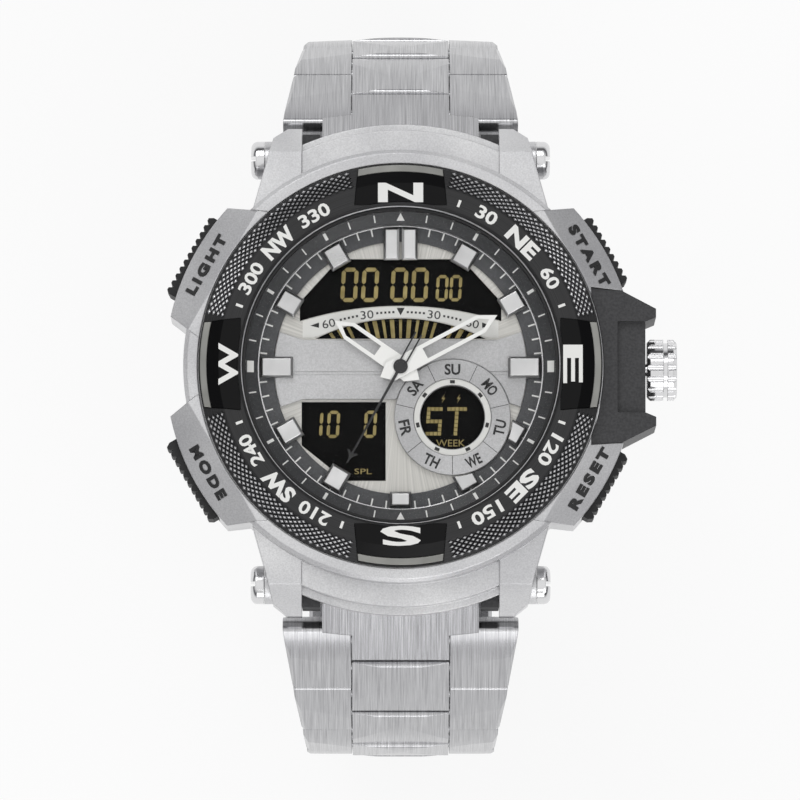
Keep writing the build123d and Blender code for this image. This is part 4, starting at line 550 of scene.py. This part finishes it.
# The bezel's flat ring ends where a slope falls to its rim, and the knurl lies there between the plates
# The columns' width is measured at KNURL_COUNT_RADIUS
BEZEL_FLAT_RADIUS = 18.9
BEZEL_RIM_RADIUS = 21.0
BEZEL_RIM_DROP = 1.4
KNURL_LOW_RADIUS = 18.98
KNURL_HIGH_RADIUS = 20.9
KNURL_ROWS = 4
KNURL_COUNT_RADIUS = 20.0
KNURL_FOOT = 0.01
PLATE_HALF_ANGLE = 14.6

BEZEL_WORD_RADIUS = 17.95
BEZEL_DIGIT_WIDTH = 1.15
TWO_LETTER_WIDTH = 3.8
CARDINALS = ((0, "N", 4.7), (90, "E", 4.0), (180, "S", 4.2), (270, "W", 4.4))
BEZEL_TICK_RADIUS = 17.8
BEZEL_TICK = (0.28, 0.75)
BEZEL_TICK_ANGLES = (20, 70, 110, 160, 200, 250, 290)


def knurl_point(angle, radius, lift):
    """A point so far above the bezel's flat ring or its slope."""
    slope = BEZEL_RIM_DROP / (BEZEL_RIM_RADIUS - BEZEL_FLAT_RADIUS)
    z = BEZEL_TOP - max(0.0, radius - BEZEL_FLAT_RADIUS) * slope + lift
    return Vector((radius * sin(angle) * MM, radius * cos(angle) * MM, height(z)))


def add_knurl(bm, rise, start, end):
    """Rows of small four-sided points between two angles in radians; the layer rise is 1 at each tip."""
    row_pitch = (KNURL_HIGH_RADIUS - KNURL_LOW_RADIUS) / KNURL_ROWS
    columns = round((end - start) * KNURL_COUNT_RADIUS / sizes().knurl_pitch)
    step = (end - start) / columns
    for j in range(2 * KNURL_ROWS - 1):
        radius = KNURL_LOW_RADIUS + (j + 1) * row_pitch / 2
        odd = j % 2
        for i in range(columns - odd):
            angle = start + (i + 0.5 + 0.5 * odd) * step
            corners = [(angle - step / 2, radius), (angle, radius - row_pitch / 2),
                       (angle + step / 2, radius), (angle, radius + row_pitch / 2)]
            base = [bm.verts.new(knurl_point(a, r, KNURL_FOOT)) for a, r in corners]
            tip = bm.verts.new(knurl_point(angle, radius, sizes().knurl_height))
            # Each tip gets the full painted highlight, and each foot the painted shade
            tip[rise] = 1.0
            for k in range(4):
                bm.faces.new([base[k], base[(k + 1) % 4], tip])


class WATCH_OT_bezel(bpy.types.Operator):
    """Finishes the bezel and builds its knurl, numbers and letters"""
    bl_idname = "watch.bezel"
    bl_label = "Bezel"

    def execute(self, context):
        c, s = colours(), sizes()
        paint("bezel_ring", number_ring_black("Black-plated turned steel", c.ring_dark, c.ring_light))
        paint("bezel_plates", enamel("Black gloss enamel", "#060607", roughness=0.3, gloss=0.15))
        satin = brushed_steel("Satin stainless steel", "#7E7E7B", "#9A9A96", roughness=0.32, along="xy")
        paint("bezel_strips", satin)

        knurl = bmesh.new()
        rise = knurl.verts.layers.float.new("rise")
        for quarter in range(4):
            start, end = 90 * quarter + PLATE_HALF_ANGLE, 90 * (quarter + 1) - PLATE_HALF_ANGLE
            add_knurl(knurl, rise, radians(start), radians(end))
        # Near-black is the painted shade of the grooves, and white the painted highlight on the points
        chromed = knurled_steel("Knurled black-chromed steel", "#1C1C1D", "#FFFFFF")
        mesh_piece("bezel_knurl", knurl, chromed, "bezel")

        words = bmesh.new()
        top = height(BEZEL_TOP)
        for angle in (30, 60, 120, 150, 210, 240, 300, 330):
            wide = BEZEL_DIGIT_WIDTH * len(str(angle))
            place = clock_place(angle, BEZEL_WORD_RADIUS, top)
            add_word(words, str(angle), place, s.bezel_number, wide, weight=0.05)
        for angle, word in ((45, "NE"), (135, "SE"), (225, "SW"), (315, "NW")):
            place = clock_place(angle, BEZEL_WORD_RADIUS, top)
            add_word(words, word, place, s.bezel_letter, TWO_LETTER_WIDTH, weight=0.1)
        for angle in BEZEL_TICK_ANGLES:
            place = clock_place(angle, BEZEL_TICK_RADIUS, top)
            add_plate(words, rectangle(*BEZEL_TICK), 0, PRINT_DEPTH, place)
        for angle, word, wide in CARDINALS:
            place = clock_place(angle, BEZEL_WORD_RADIUS, height(BEZEL_PLATE_TOP))
            add_word(words, word, place, s.cardinal_letter, wide, weight=0.08)
        mesh_piece("bezel_numbers", words, white_print(), "bezel")
        return {"FINISHED"}


# The minute track rises outward under the crystal, and the dark flange ring inside it is flat
TRACK_INNER_RADIUS = 14.9
TRACK_WIDTH = 1.4
TRACK_RISE = 0.6
TRACK_MARK_RADIUS = 15.62
TRACK_MARK = (0.14, 0.8)
TRACK_BOLD_MARK = (0.32, 0.8)
TRACK_BAR = (1.2, 0.75)
TRACK_POINTER = ((-0.42, -0.4), (0.42, -0.4), (0, 0.45))
FLANGE_MARK_RADIUS = 14.35
FLANGE_MARK = (0.16, 0.75)
UNMARKED_MINUTES = (59, 0, 1, 15, 30, 45)
RIM_WIDTH = 0.16
RIM_HEIGHT = 0.12


class WATCH_OT_tracks(bpy.types.Operator):
    """Finishes the minute track and the dark ring inside it, with their marks"""
    bl_idname = "watch.tracks"
    bl_label = "Minute track"

    def execute(self, context):
        track = moulded_resin("Dark moulded polycarbonate", colours().track, "#3A3B3D", roughness=0.45,
                              grain_mm=0.2, strength=0.1)
        paint("chapter_ring", track)
        flange = moulded_resin("Grey moulded acrylic", "#414244", "#4C4D50", roughness=0.45, grain_mm=0.2,
                               strength=0.1)
        paint("dial_flange", flange)

        marks = bmesh.new()
        z = height(TRACK_FOOT + (TRACK_MARK_RADIUS - TRACK_INNER_RADIUS) * TRACK_RISE / TRACK_WIDTH)
        tilt = -degrees(atan2(TRACK_RISE, TRACK_WIDTH))
        for angle in range(0, 360, 10):
            place = clock_place(angle, TRACK_MARK_RADIUS, z, tilt)
            if angle in (0, 180):
                turn = 1 if angle == 0 else -1
                outline = [(turn * x, turn * y) for x, y in TRACK_POINTER]
            elif angle in (90, 270):
                outline = rectangle(*TRACK_BAR)
            else:
                outline = rectangle(*(TRACK_MARK if angle % 30 else TRACK_BOLD_MARK))
            add_plate(marks, outline, 0, PRINT_DEPTH, place)
        flange_top = height(FLANGE_TOP)
        for minute in range(60):
            if minute not in UNMARKED_MINUTES:
                place = clock_place(6 * minute, FLANGE_MARK_RADIUS, flange_top)
                add_plate(marks, rectangle(*FLANGE_MARK), 0, PRINT_LIFT, place)
        mesh_piece("track_marks", marks, white_print(), "case")

        rim = bmesh.new()
        annulus(rim, TRACK_INNER_RADIUS, TRACK_INNER_RADIUS - RIM_WIDTH, 0.0, RIM_HEIGHT,
                place=Matrix.Translation((0, 0, flange_top)))
        mesh_piece("track_rim", rim, bright_steel(), "case")
        return {"FINISHED"}


# A white band with a scale arches over the fan window; its upper edge and the window's arch are parabolas
BAND_HALF_WIDTH = 10.2
BAND_MARGIN = 0.12
BAND_STEPS = 12
BAND_TOP_END = 4.9
BAND_TOP_RISE = 1.6
BAND_TOP_HALF = 10.5
FAN_END = 3.05
FAN_RISE = 2.15
FAN_HALF = 8.9

SCALE_NUMBERS = ((-7.5, "60"), (-3.5, "30"), (3.5, "30"), (7.5, "60"))
SCALE_NUMBER = (0.9, 1.35)
SCALE_DOT = (0.22, 0.22)
SCALE_DOT_STARTS = (0.75, 4.55)
SCALE_DOT_PITCH = 0.42
SCALE_DOT_COUNT = 5
SCALE_ARROW = ((9.4, -0.05), (8.5, -0.28), (8.5, 0.28))
SCALE_ARROW_X = 9.0
SCALE_ARROW_DROP = 0.85
CENTRE_POINTER = ((0.42, 0.38), (-0.42, 0.38), (0, -0.42))
CENTRE_POINTER_SHARE = 0.55

# The weekday ring, about its own centre
WEEK_X = 5.4
WEEK_Y = -5.2
WEEK_WORDS = ("SU", "MO", "TU", "WE", "TH", "FR", "SA")
WEEK_WORD_RADIUS = 5.02
WEEK_WORD = (1.12, 1.65)
WEEK_BAND_OUTER = 4.0
WEEK_BAND_INNER = 3.42
WEEK_BAND_THICKNESS = 0.05
WEEK_MARK_RADIUS = 3.7
WEEK_MARK = (0.5, 0.34)
WEEK_LINE = (0.06, 1.9)
WEEK_LINE_DEPTH = 0.015


def band_top_edge(x):
    """The white band's upper edge."""
    return BAND_TOP_END + BAND_TOP_RISE * (1 - (x / BAND_TOP_HALF) ** 2)


def fan_edge(x):
    """The fan window's arched edge, along which the white band runs."""
    return FAN_END + FAN_RISE * max(0.0, 1 - (x / FAN_HALF) ** 2)


def on_band(x, share=0.5):
    """A place on the white band, a share of the way up it and turned to follow its upper edge."""
    reach = 0.2
    y = fan_edge(x) + share * (band_top_edge(x) - fan_edge(x))
    turn = atan2(band_top_edge(x + reach) - band_top_edge(x - reach), 2 * reach)
    spot = Matrix.Translation((x * MM, y * MM, height(DIAL_TOP + PRINT_DEPTH)))
    return spot @ Matrix.Rotation(turn, 4, "Z")


def add_band_scale(bm):
    """The numbers, dots and pointers on the white band."""
    for x, word in SCALE_NUMBERS:
        add_word(bm, word, on_band(x), *SCALE_NUMBER)
    arrow_y = band_top_edge(SCALE_ARROW_X) - SCALE_ARROW_DROP
    base = Matrix.Translation((0, arrow_y * MM, height(DIAL_TOP + PRINT_DEPTH)))
    for side in (-1, 1):
        for start in SCALE_DOT_STARTS:
            for k in range(SCALE_DOT_COUNT):
                place = on_band(side * (start + SCALE_DOT_PITCH * k))
                add_plate(bm, rectangle(*SCALE_DOT), 0, PRINT_LIFT, place)
        add_plate(bm, [(side * x, y) for x, y in SCALE_ARROW], 0, PRINT_LIFT, base)
    add_plate(bm, CENTRE_POINTER, 0, PRINT_LIFT, on_band(0, CENTRE_POINTER_SHARE))


def add_weekdays(bm):
    """The weekday names, the marks on the inner band and a fine line between every two names."""
    centre = Matrix.Translation((WEEK_X * MM, WEEK_Y * MM, 0))
    ring_top = height(WEEK_RING_TOP)
    step_top = height(WEEK_STEP_TOP)
    for i, word in enumerate(WEEK_WORDS):
        angle = 360 * i / len(WEEK_WORDS)
        spot = centre @ clock_place(angle, WEEK_WORD_RADIUS, ring_top, flip=90 < angle < 270)
        add_word(bm, word, spot, *WEEK_WORD, weight=0.045)
        spot = centre @ clock_place(angle, WEEK_MARK_RADIUS, step_top)
        add_plate(bm, rectangle(*WEEK_MARK), WEEK_BAND_THICKNESS, WEEK_BAND_THICKNESS + PRINT_DEPTH, spot)
    for i in range(len(WEEK_WORDS)):
        spot = centre @ clock_place(360 * (i + 0.5) / len(WEEK_WORDS), WEEK_WORD_RADIUS, ring_top)
        add_plate(bm, rectangle(*WEEK_LINE), 0, WEEK_LINE_DEPTH, spot)


class WATCH_OT_dial(bpy.types.Operator):
    """Finishes the dial, its bridge, markers and weekday ring, and prints its scales"""
    bl_idname = "watch.dial"
    bl_label = "Dial"

    def execute(self, context):
        paint("dial_plate", pearl_silver("Sunray-brushed silver plate", "#BCBBB6", "#D4D2CD", rays=60))
        grained = blasted_steel("Sand-blasted aluminium", "#B2B2B3", "#C6C6C7", roughness=0.42, grit_mm=0.16,
                                strength=1.0)
        paint("dial_bridge", grained)
        paint("weekday_ring", grained)
        lapped = brushed_steel("Lapped white metal", "#BEBEBE", "#DADADA", roughness=0.3, along="xy")
        paint("hour_markers", lapped)

        band = bmesh.new()
        steps = [BAND_HALF_WIDTH * (i / BAND_STEPS - 1) for i in range(2 * BAND_STEPS + 1)]
        outline = [(x, fan_edge(x) + BAND_MARGIN) for x in steps]
        outline += [(x, band_top_edge(x) - BAND_MARGIN) for x in reversed(steps)]
        add_plate(band, outline, 0, PRINT_DEPTH, Matrix.Translation((0, 0, height(DIAL_TOP))))
        annulus(band, WEEK_BAND_OUTER, WEEK_BAND_INNER, 0.0, WEEK_BAND_THICKNESS,
                place=Matrix.Translation((WEEK_X * MM, WEEK_Y * MM, height(WEEK_STEP_TOP))))
        lacquer = enamel("White dial lacquer", "#DEDEDA", roughness=0.4)
        mesh_piece("white_scale_bands", band, lacquer, "case")

        words = bmesh.new()
        add_band_scale(words)
        add_weekdays(words)
        mesh_piece("dial_words", words, black_print(), "case")
        return {"FINISHED"}


# The lit segments' clearance above the cells
DISPLAY_CLEARANCE = 0.01

# A row of digits: its place up the dial, a digit's width, height and bar, and where each digit stands
SEGMENT_ROWS = (
    (8.75, 1.75, 3.6, 0.42, ((-5.33, "0"), (-3.18, "0"), (-0.14, "0"), (2.01, "0"))),
    (8.4, 1.25, 2.75, 0.32, ((4.33, "0"), (5.75, "0"))),
    (-5.85, 1.3, 2.85, 0.33, ((-8.75, "1"), (-7.0, "0"), (-3.15, "0"))),
)

# The round display shows two letters as rows of dots, under two bolts
DOT_ROWS = (
    "11110111110",
    "10000001000",
    "10000001000",
    "11110001000",
    "00010001000",
    "00010001000",
    "11110001000",
)
DOT_X = 2.95
DOT_Y = -4.25
DOT_COLUMN_PITCH = 0.42
DOT_ROW_PITCH = 0.43
DOT_ROW_SHIFT = 0.03
DOT = (0.36, 0.37)
BOLT_OUTLINE = ((0.18, 0.5), (-0.2, -0.05), (0.02, -0.05), (-0.18, -0.5), (0.22, 0.08), (-0.02, 0.08))
BOLT_PLACES = ((4.45, -3.15), (6.05, -3.15))
# A word, its place across and up the dial, and its size
DISPLAY_WORDS = (("SPL", -3.9, -10.75, 0.6, 1.8), ("WEEK", 5.2, -7.78, 0.75, 3.0))

# The fan window's rays spread from a point below it, and the fifth on each side of the middle is left dark
# They end at an arch whose own ends are at RAY_ARCH_END, just below the window's
RAY_FOCUS_Y = -7.0
RAY_COUNT_EACH_SIDE = 9
RAY_STEP = 4.3
RAY_HALF_ANGLES = (0.75, 1.1)
RAY_FOOT = 3.15
RAY_FIRST_TOP = 3.2
RAY_HIGHEST = 5.1
RAY_TOP_STEP = 0.03
RAY_SHORTEST_TOP = 3.4
RAY_ARCH_END = 3.0


def ray_point(angle, y):
    """Where the line at an angle from the rays' focus is at a height y."""
    return (y - RAY_FOCUS_Y) * sin(angle) / cos(angle), y


def ray_top(angle):
    """The height at which a ray's edge meets the window's arch."""
    y = RAY_FIRST_TOP
    while y < min(RAY_HIGHEST, RAY_ARCH_END + FAN_RISE * (1 - (ray_point(angle, y)[0] / FAN_HALF) ** 2)):
        y += RAY_TOP_STEP
    return y


def add_rays(bm, place):
    """The fan window's lit rays, broad and narrow in turn."""
    for i in range(-RAY_COUNT_EACH_SIDE, RAY_COUNT_EACH_SIDE + 1):
        if i % 5 == 0 and i != 0:
            continue
        turn = radians(RAY_STEP * i)
        half = radians(RAY_HALF_ANGLES[i % 2])
        left, right = turn - half, turn + half
        if min(ray_top(left), ray_top(right)) > RAY_SHORTEST_TOP:
            outline = [ray_point(left, RAY_FOOT), ray_point(right, RAY_FOOT),
                       ray_point(right, ray_top(right)), ray_point(left, ray_top(left))]
            add_plate(bm, outline, 0, PRINT_LIFT, place)


def add_dot_letters(bm, place):
    """The round display's letters, each row a little to the left of the one above."""
    for row, dots in enumerate(DOT_ROWS):
        for column, dot in enumerate(dots):
            if dot == "1":
                x = DOT_X + DOT_COLUMN_PITCH * column - DOT_ROW_SHIFT * row
                y = DOT_Y - DOT_ROW_PITCH * row
                add_plate(bm, rectangle(*DOT, x, y), 0, PRINT_LIFT, place)


class WATCH_OT_displays(bpy.types.Operator):
    """Finishes the display cells and lights their segments and rays"""
    bl_idname = "watch.displays"
    bl_label = "Displays"

    def execute(self, context):
        paint("display_panels", enamel("Black display polariser", "#040404", roughness=0.35, gloss=0.08))
        top = height(DISPLAY_TOP) + DISPLAY_CLEARANCE * MM
        cell = Matrix.Translation((0, 0, top))
        lit = bmesh.new()
        for y, width, tall, bar, characters in SEGMENT_ROWS:
            for x, character in characters:
                add_digit(lit, character, x, y, width, tall, bar, top)
        add_dot_letters(lit, cell)
        for x, y in BOLT_PLACES:
            add_plate(lit, BOLT_OUTLINE, 0, PRINT_LIFT, cell @ Matrix.Translation((x * MM, y * MM, 0)))
        for word, x, y, tall, wide in DISPLAY_WORDS:
            add_word(lit, word, Matrix.Translation((x * MM, y * MM, top)), tall, wide, depth=PRINT_LIFT)
        add_rays(lit, cell)
        mesh_piece("display_segments", lit, display_amber("Amber display segments", colours().amber), "case")
        return {"FINISHED"}


# The arrow near the tip of the seconds hand, where that points at rest
SECOND_ARROW_ANGLE = 209
SECOND_ARROW_RADIUS = 10.6
SECOND_ARROW_THICKNESS = 0.11
SECOND_ARROW = ((0, 0.75), (-0.2, 0.1), (-0.6, -0.35), (-0.42, -0.45), (0, -0.1), (0.42, -0.45),
                (0.6, -0.35), (0.2, 0.1))


class WATCH_OT_hands(bpy.types.Operator):
    """Finishes the three hands"""
    bl_idname = "watch.hands"
    bl_label = "Hands"

    def execute(self, context):
        white = enamel("White stoved enamel", "#F4F4F1", roughness=0.32, coat=0.2)
        paint("hour_hand", white)
        paint("minute_hand", white)
        black = enamel("Black stoved enamel", "#161617", roughness=0.35, coat=0.2)
        paint("second_hand", black)
        arrow = bmesh.new()
        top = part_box("second_hand")[1].z
        place = clock_place(SECOND_ARROW_ANGLE, SECOND_ARROW_RADIUS, top)
        add_plate(arrow, SECOND_ARROW, -SECOND_ARROW_THICKNESS, PRINT_LIFT, place)
        mesh_piece("second_hand_arrow", arrow, black, "second_hand")
        return {"FINISHED"}


# Each button guard slopes down from its crest to its face
GUARD_CREST_RADIUS = 21.0
GUARD_CREST_HEIGHT = 14.1
GUARD_FACE_RADIUS = 24.5
GUARD_FACE_HEIGHT = 12.6
GUARD_WORD_RADIUS = 22.85
GUARD_WORD_WEIGHT = 0.08
GUARD_WORD_DEPTH = 0.05
GUARD_WORD_SPREAD = 1.35
# A word's clock angle, how far it stands aside of its guard's middle, its width, and if its top is inward
GUARD_WORDS = (
    (60, "START", -0.2, 7.2, False),
    (120, "RESET", 0.35, 7.2, True),
    (240, "MODE", 0.4, 6.2, True),
    (300, "LIGHT", -0.9, 7.0, False),
)


class WATCH_OT_button_words(bpy.types.Operator):
    """Prints the word on each button guard"""
    bl_idname = "watch.button_words"
    bl_label = "Button words"

    def execute(self, context):
        words = bmesh.new()
        slope = (GUARD_CREST_HEIGHT - GUARD_FACE_HEIGHT) / (GUARD_FACE_RADIUS - GUARD_CREST_RADIUS)
        z = height(GUARD_CREST_HEIGHT - (GUARD_WORD_RADIUS - GUARD_CREST_RADIUS) * slope)
        for angle, word, aside, wide, inward in GUARD_WORDS:
            place = clock_place(angle, GUARD_WORD_RADIUS, z, degrees(atan2(slope, 1)))
            place = place @ Matrix.Translation((aside * MM, 0, 0))
            if inward:
                place = place @ Matrix.Rotation(pi, 4, "Z")
            add_word(words, word, place, sizes().button_word, wide, GUARD_WORD_WEIGHT, GUARD_WORD_DEPTH,
                     GUARD_WORD_SPREAD)
        mesh_piece("button_words", words, black_print(), "case")
        return {"FINISHED"}


class WATCH_OT_inside(bpy.types.Operator):
    """Finishes the crystal and what lies inside the case"""
    bl_idname = "watch.inside"
    bl_label = "Crystal and movement"

    def execute(self, context):
        paint("crystal", mineral_glass("Mineral glass"))
        nickel = brushed_steel("Nickel-plated brass", "#B9A878", "#D2C08C", roughness=0.3, along="x")
        paint("quartz_movement", nickel)
        paint("buzzer_disc", brushed_steel("Rolled brass", "#B08D4A", "#C9A45E", roughness=0.3, along="y"))
        paint("battery_cell", bright_steel())
        board = moulded_resin("Black solder-masked board", "#0D0F0E", "#151817", roughness=0.4, grain_mm=0.8,
                              strength=0.1)
        paint("circuit_board", board)
        return {"FINISHED"}


# The stage, in metres; a lamp has its place, its side and its power in watts
FLOOR_HALF_SIZE = 3.0
FLOOR_GLOW_SHARE = 0.85
SKY_STOPS = ((0.0, "#F0F0F0"), (0.12, "#D8D8DA"), (0.34, "#262628"), (0.58, "#A4A4A6"), (0.8, "#F0F0F0"),
             (1.0, "#FFFFFF"))
LAMP_AIM = (0, 0, 0.05)
LAMPS = (
    ("key_panel", (-0.2, 0.7, 0.85), 0.5, 2.6),
    ("fill_panel", (0.3, -0.7, 0.85), 0.5, 1.8),
    ("front_panel", (0.0, -0.8, 0.4), 0.4, 1.0),
)
SENSOR_WIDTH = 36.0
CAMERA_DISTANCE = 1.1
CAMERA_ELEVATION = 85
CAMERA_FOCUS_HEIGHT = 13.2
CAMERA_NEAREST = 0.05
CAMERA_FARTHEST = 20.0

# What the picture spans at the focus, and how far the focus is from the picture's middle, in millimetres
PICTURE_WIDTH = 83.2
PICTURE_SHIFT_UP = 3.5
PICTURE_SHIFT_RIGHT = 0.06


def studio_paper(name):
    """Matt white background paper. Straight, mirrored and refracted rays see it mostly as white, and the
    rest of it takes the light, so that the watch keeps its shadow."""
    paper, tree, shader = new_material(name, Base_Color=linear("#F4F4F4"), Roughness=0.9)
    rays = add_node(tree, "ShaderNodeLightPath", place=(-600, 300))
    direct = add_node(tree, "ShaderNodeMath", {"operation": "MAXIMUM"},
                      {0: rays.outputs["Is Camera Ray"], 1: rays.outputs["Is Transmission Ray"]}, (-500, 300))
    seen = add_node(tree, "ShaderNodeMath", {"operation": "MAXIMUM"},
                    {0: direct.outputs["Value"], 1: rays.outputs["Is Glossy Ray"]}, (-350, 300))
    share = add_node(tree, "ShaderNodeMath", {"operation": "MULTIPLY"}, {0: seen.outputs["Value"]},
                     (-200, 300))
    share.inputs[1].default_value = FLOOR_GLOW_SHARE
    glow = add_node(tree, "ShaderNodeEmission", {"Strength": 1.0}, place=(-200, 0))
    mixed = add_node(tree, "ShaderNodeMixShader",
                     links={"Fac": share.outputs["Value"], 1: shader.outputs["BSDF"],
                            2: glow.outputs["Emission"]},
                     place=(0, 200))
    tree.links.new(mixed.outputs["Shader"], tree.nodes["Material Output"].inputs["Surface"])
    return paper


def add_floor(scene):
    """A square of paper under the watch."""
    bm = bmesh.new()
    bmesh.ops.create_grid(bm, x_segments=1, y_segments=1, size=FLOOR_HALF_SIZE)
    mesh = bpy.data.meshes.new("floor")
    bm.to_mesh(mesh)
    bm.free()
    mesh.materials.append(studio_paper("White studio paper"))
    floor = bpy.data.objects.new("floor", mesh)
    scene.collection.objects.link(floor)


def add_room(scene):
    """A pale room with a dark band above the horizon, which the steel shows as its darker tones."""
    world = bpy.data.worlds.new("Soft studio")
    scene.world = world
    world.use_nodes = True
    tree = world.node_tree
    coords = add_node(tree, "ShaderNodeTexCoord", place=(-900, 0))
    parts = add_node(tree, "ShaderNodeSeparateXYZ", links={"Vector": coords.outputs["Generated"]},
                     place=(-700, 0))
    sky = add_node(tree, "ShaderNodeValToRGB", links={"Fac": parts.outputs["Z"]}, place=(-450, 0),
                   stops=SKY_STOPS)
    background = tree.nodes["Background"]
    tree.links.new(sky.outputs["Color"], background.inputs["Color"])
    background.inputs["Strength"].default_value = 1.0


def add_lamps(scene):
    """The square lamps, each turned to the watch."""
    for name, spot, size, power in LAMPS:
        lamp = bpy.data.lights.new(name, "AREA")
        lamp.shape = "SQUARE"
        lamp.size = size
        lamp.energy = power
        holder = bpy.data.objects.new(name, lamp)
        holder.location = spot
        aim = Vector(LAMP_AIM) - Vector(spot)
        holder.rotation_euler = aim.to_track_quat("-Z", "Y").to_euler()
        scene.collection.objects.link(holder)


def add_camera(scene):
    """A long lens nearly straight above the dial, from the 6 o'clock side."""
    tilt = radians(CAMERA_ELEVATION)
    focus = Vector((0, 0, height(CAMERA_FOCUS_HEIGHT)))
    up = Vector((0, sin(tilt), cos(tilt)))
    target = focus - up * PICTURE_SHIFT_UP * MM - Vector((PICTURE_SHIFT_RIGHT * MM, 0, 0))
    lens = bpy.data.cameras.new("camera")
    lens.sensor_width = SENSOR_WIDTH
    lens.lens = SENSOR_WIDTH * CAMERA_DISTANCE / (PICTURE_WIDTH * MM)
    lens.clip_start = CAMERA_NEAREST
    lens.clip_end = CAMERA_FARTHEST
    camera = bpy.data.objects.new("camera", lens)
    camera.location = target + CAMERA_DISTANCE * Vector((0, -cos(tilt), sin(tilt)))
    camera.rotation_euler = (target - camera.location).to_track_quat("-Z", "Y").to_euler()
    scene.collection.objects.link(camera)
    scene.camera = camera


class WATCH_OT_stage(bpy.types.Operator):
    """Builds the floor, the lights and the camera"""
    bl_idname = "watch.stage"
    bl_label = "Stage"

    def execute(self, context):
        scene = bpy.context.scene
        scene.view_settings.view_transform = "Standard"
        add_floor(scene)
        add_room(scene)
        add_lamps(scene)
        add_camera(scene)
        return {"FINISHED"}


class WATCH_PT_panel(bpy.types.Panel):
    """Lists the watch's groups, sizes and colours"""
    bl_label = "Ana Digi Watch"
    bl_idname = "WATCH_PT_panel"
    bl_space_type = "VIEW_3D"
    bl_region_type = "UI"
    bl_category = "Watch"

    def draw(self, context):
        for operator in OPERATORS:
            self.layout.operator(operator.bl_idname)
        for group in (context.scene.watch_sizes, context.scene.watch_colours):
            for name in group.__annotations__:
                self.layout.prop(group, name)


OPERATORS = (
    WATCH_OT_case, WATCH_OT_bracelet, WATCH_OT_bezel, WATCH_OT_tracks, WATCH_OT_dial, WATCH_OT_displays,
    WATCH_OT_hands, WATCH_OT_button_words, WATCH_OT_inside, WATCH_OT_stage,
)
CLASSES = (WatchColours, WatchSizes) + OPERATORS + (WATCH_PT_panel,)


def register():
    for cls in CLASSES:
        bpy.utils.register_class(cls)
    bpy.types.Scene.watch_colours = bpy.props.PointerProperty(type=WatchColours)
    bpy.types.Scene.watch_sizes = bpy.props.PointerProperty(type=WatchSizes)


def unregister():
    del bpy.types.Scene.watch_sizes
    del bpy.types.Scene.watch_colours
    for cls in reversed(CLASSES):
        bpy.utils.unregister_class(cls)


def main():
    """Runs every operator in order."""
    register()
    for step in (bpy.ops.watch.case, bpy.ops.watch.bracelet, bpy.ops.watch.bezel, bpy.ops.watch.tracks,
                 bpy.ops.watch.dial, bpy.ops.watch.displays, bpy.ops.watch.hands, bpy.ops.watch.button_words,
                 bpy.ops.watch.inside, bpy.ops.watch.stage):
        if step() != {"FINISHED"}:
            raise RuntimeError(f"{step.idname()} did not finish")


if __name__ == "__main__":
    main()
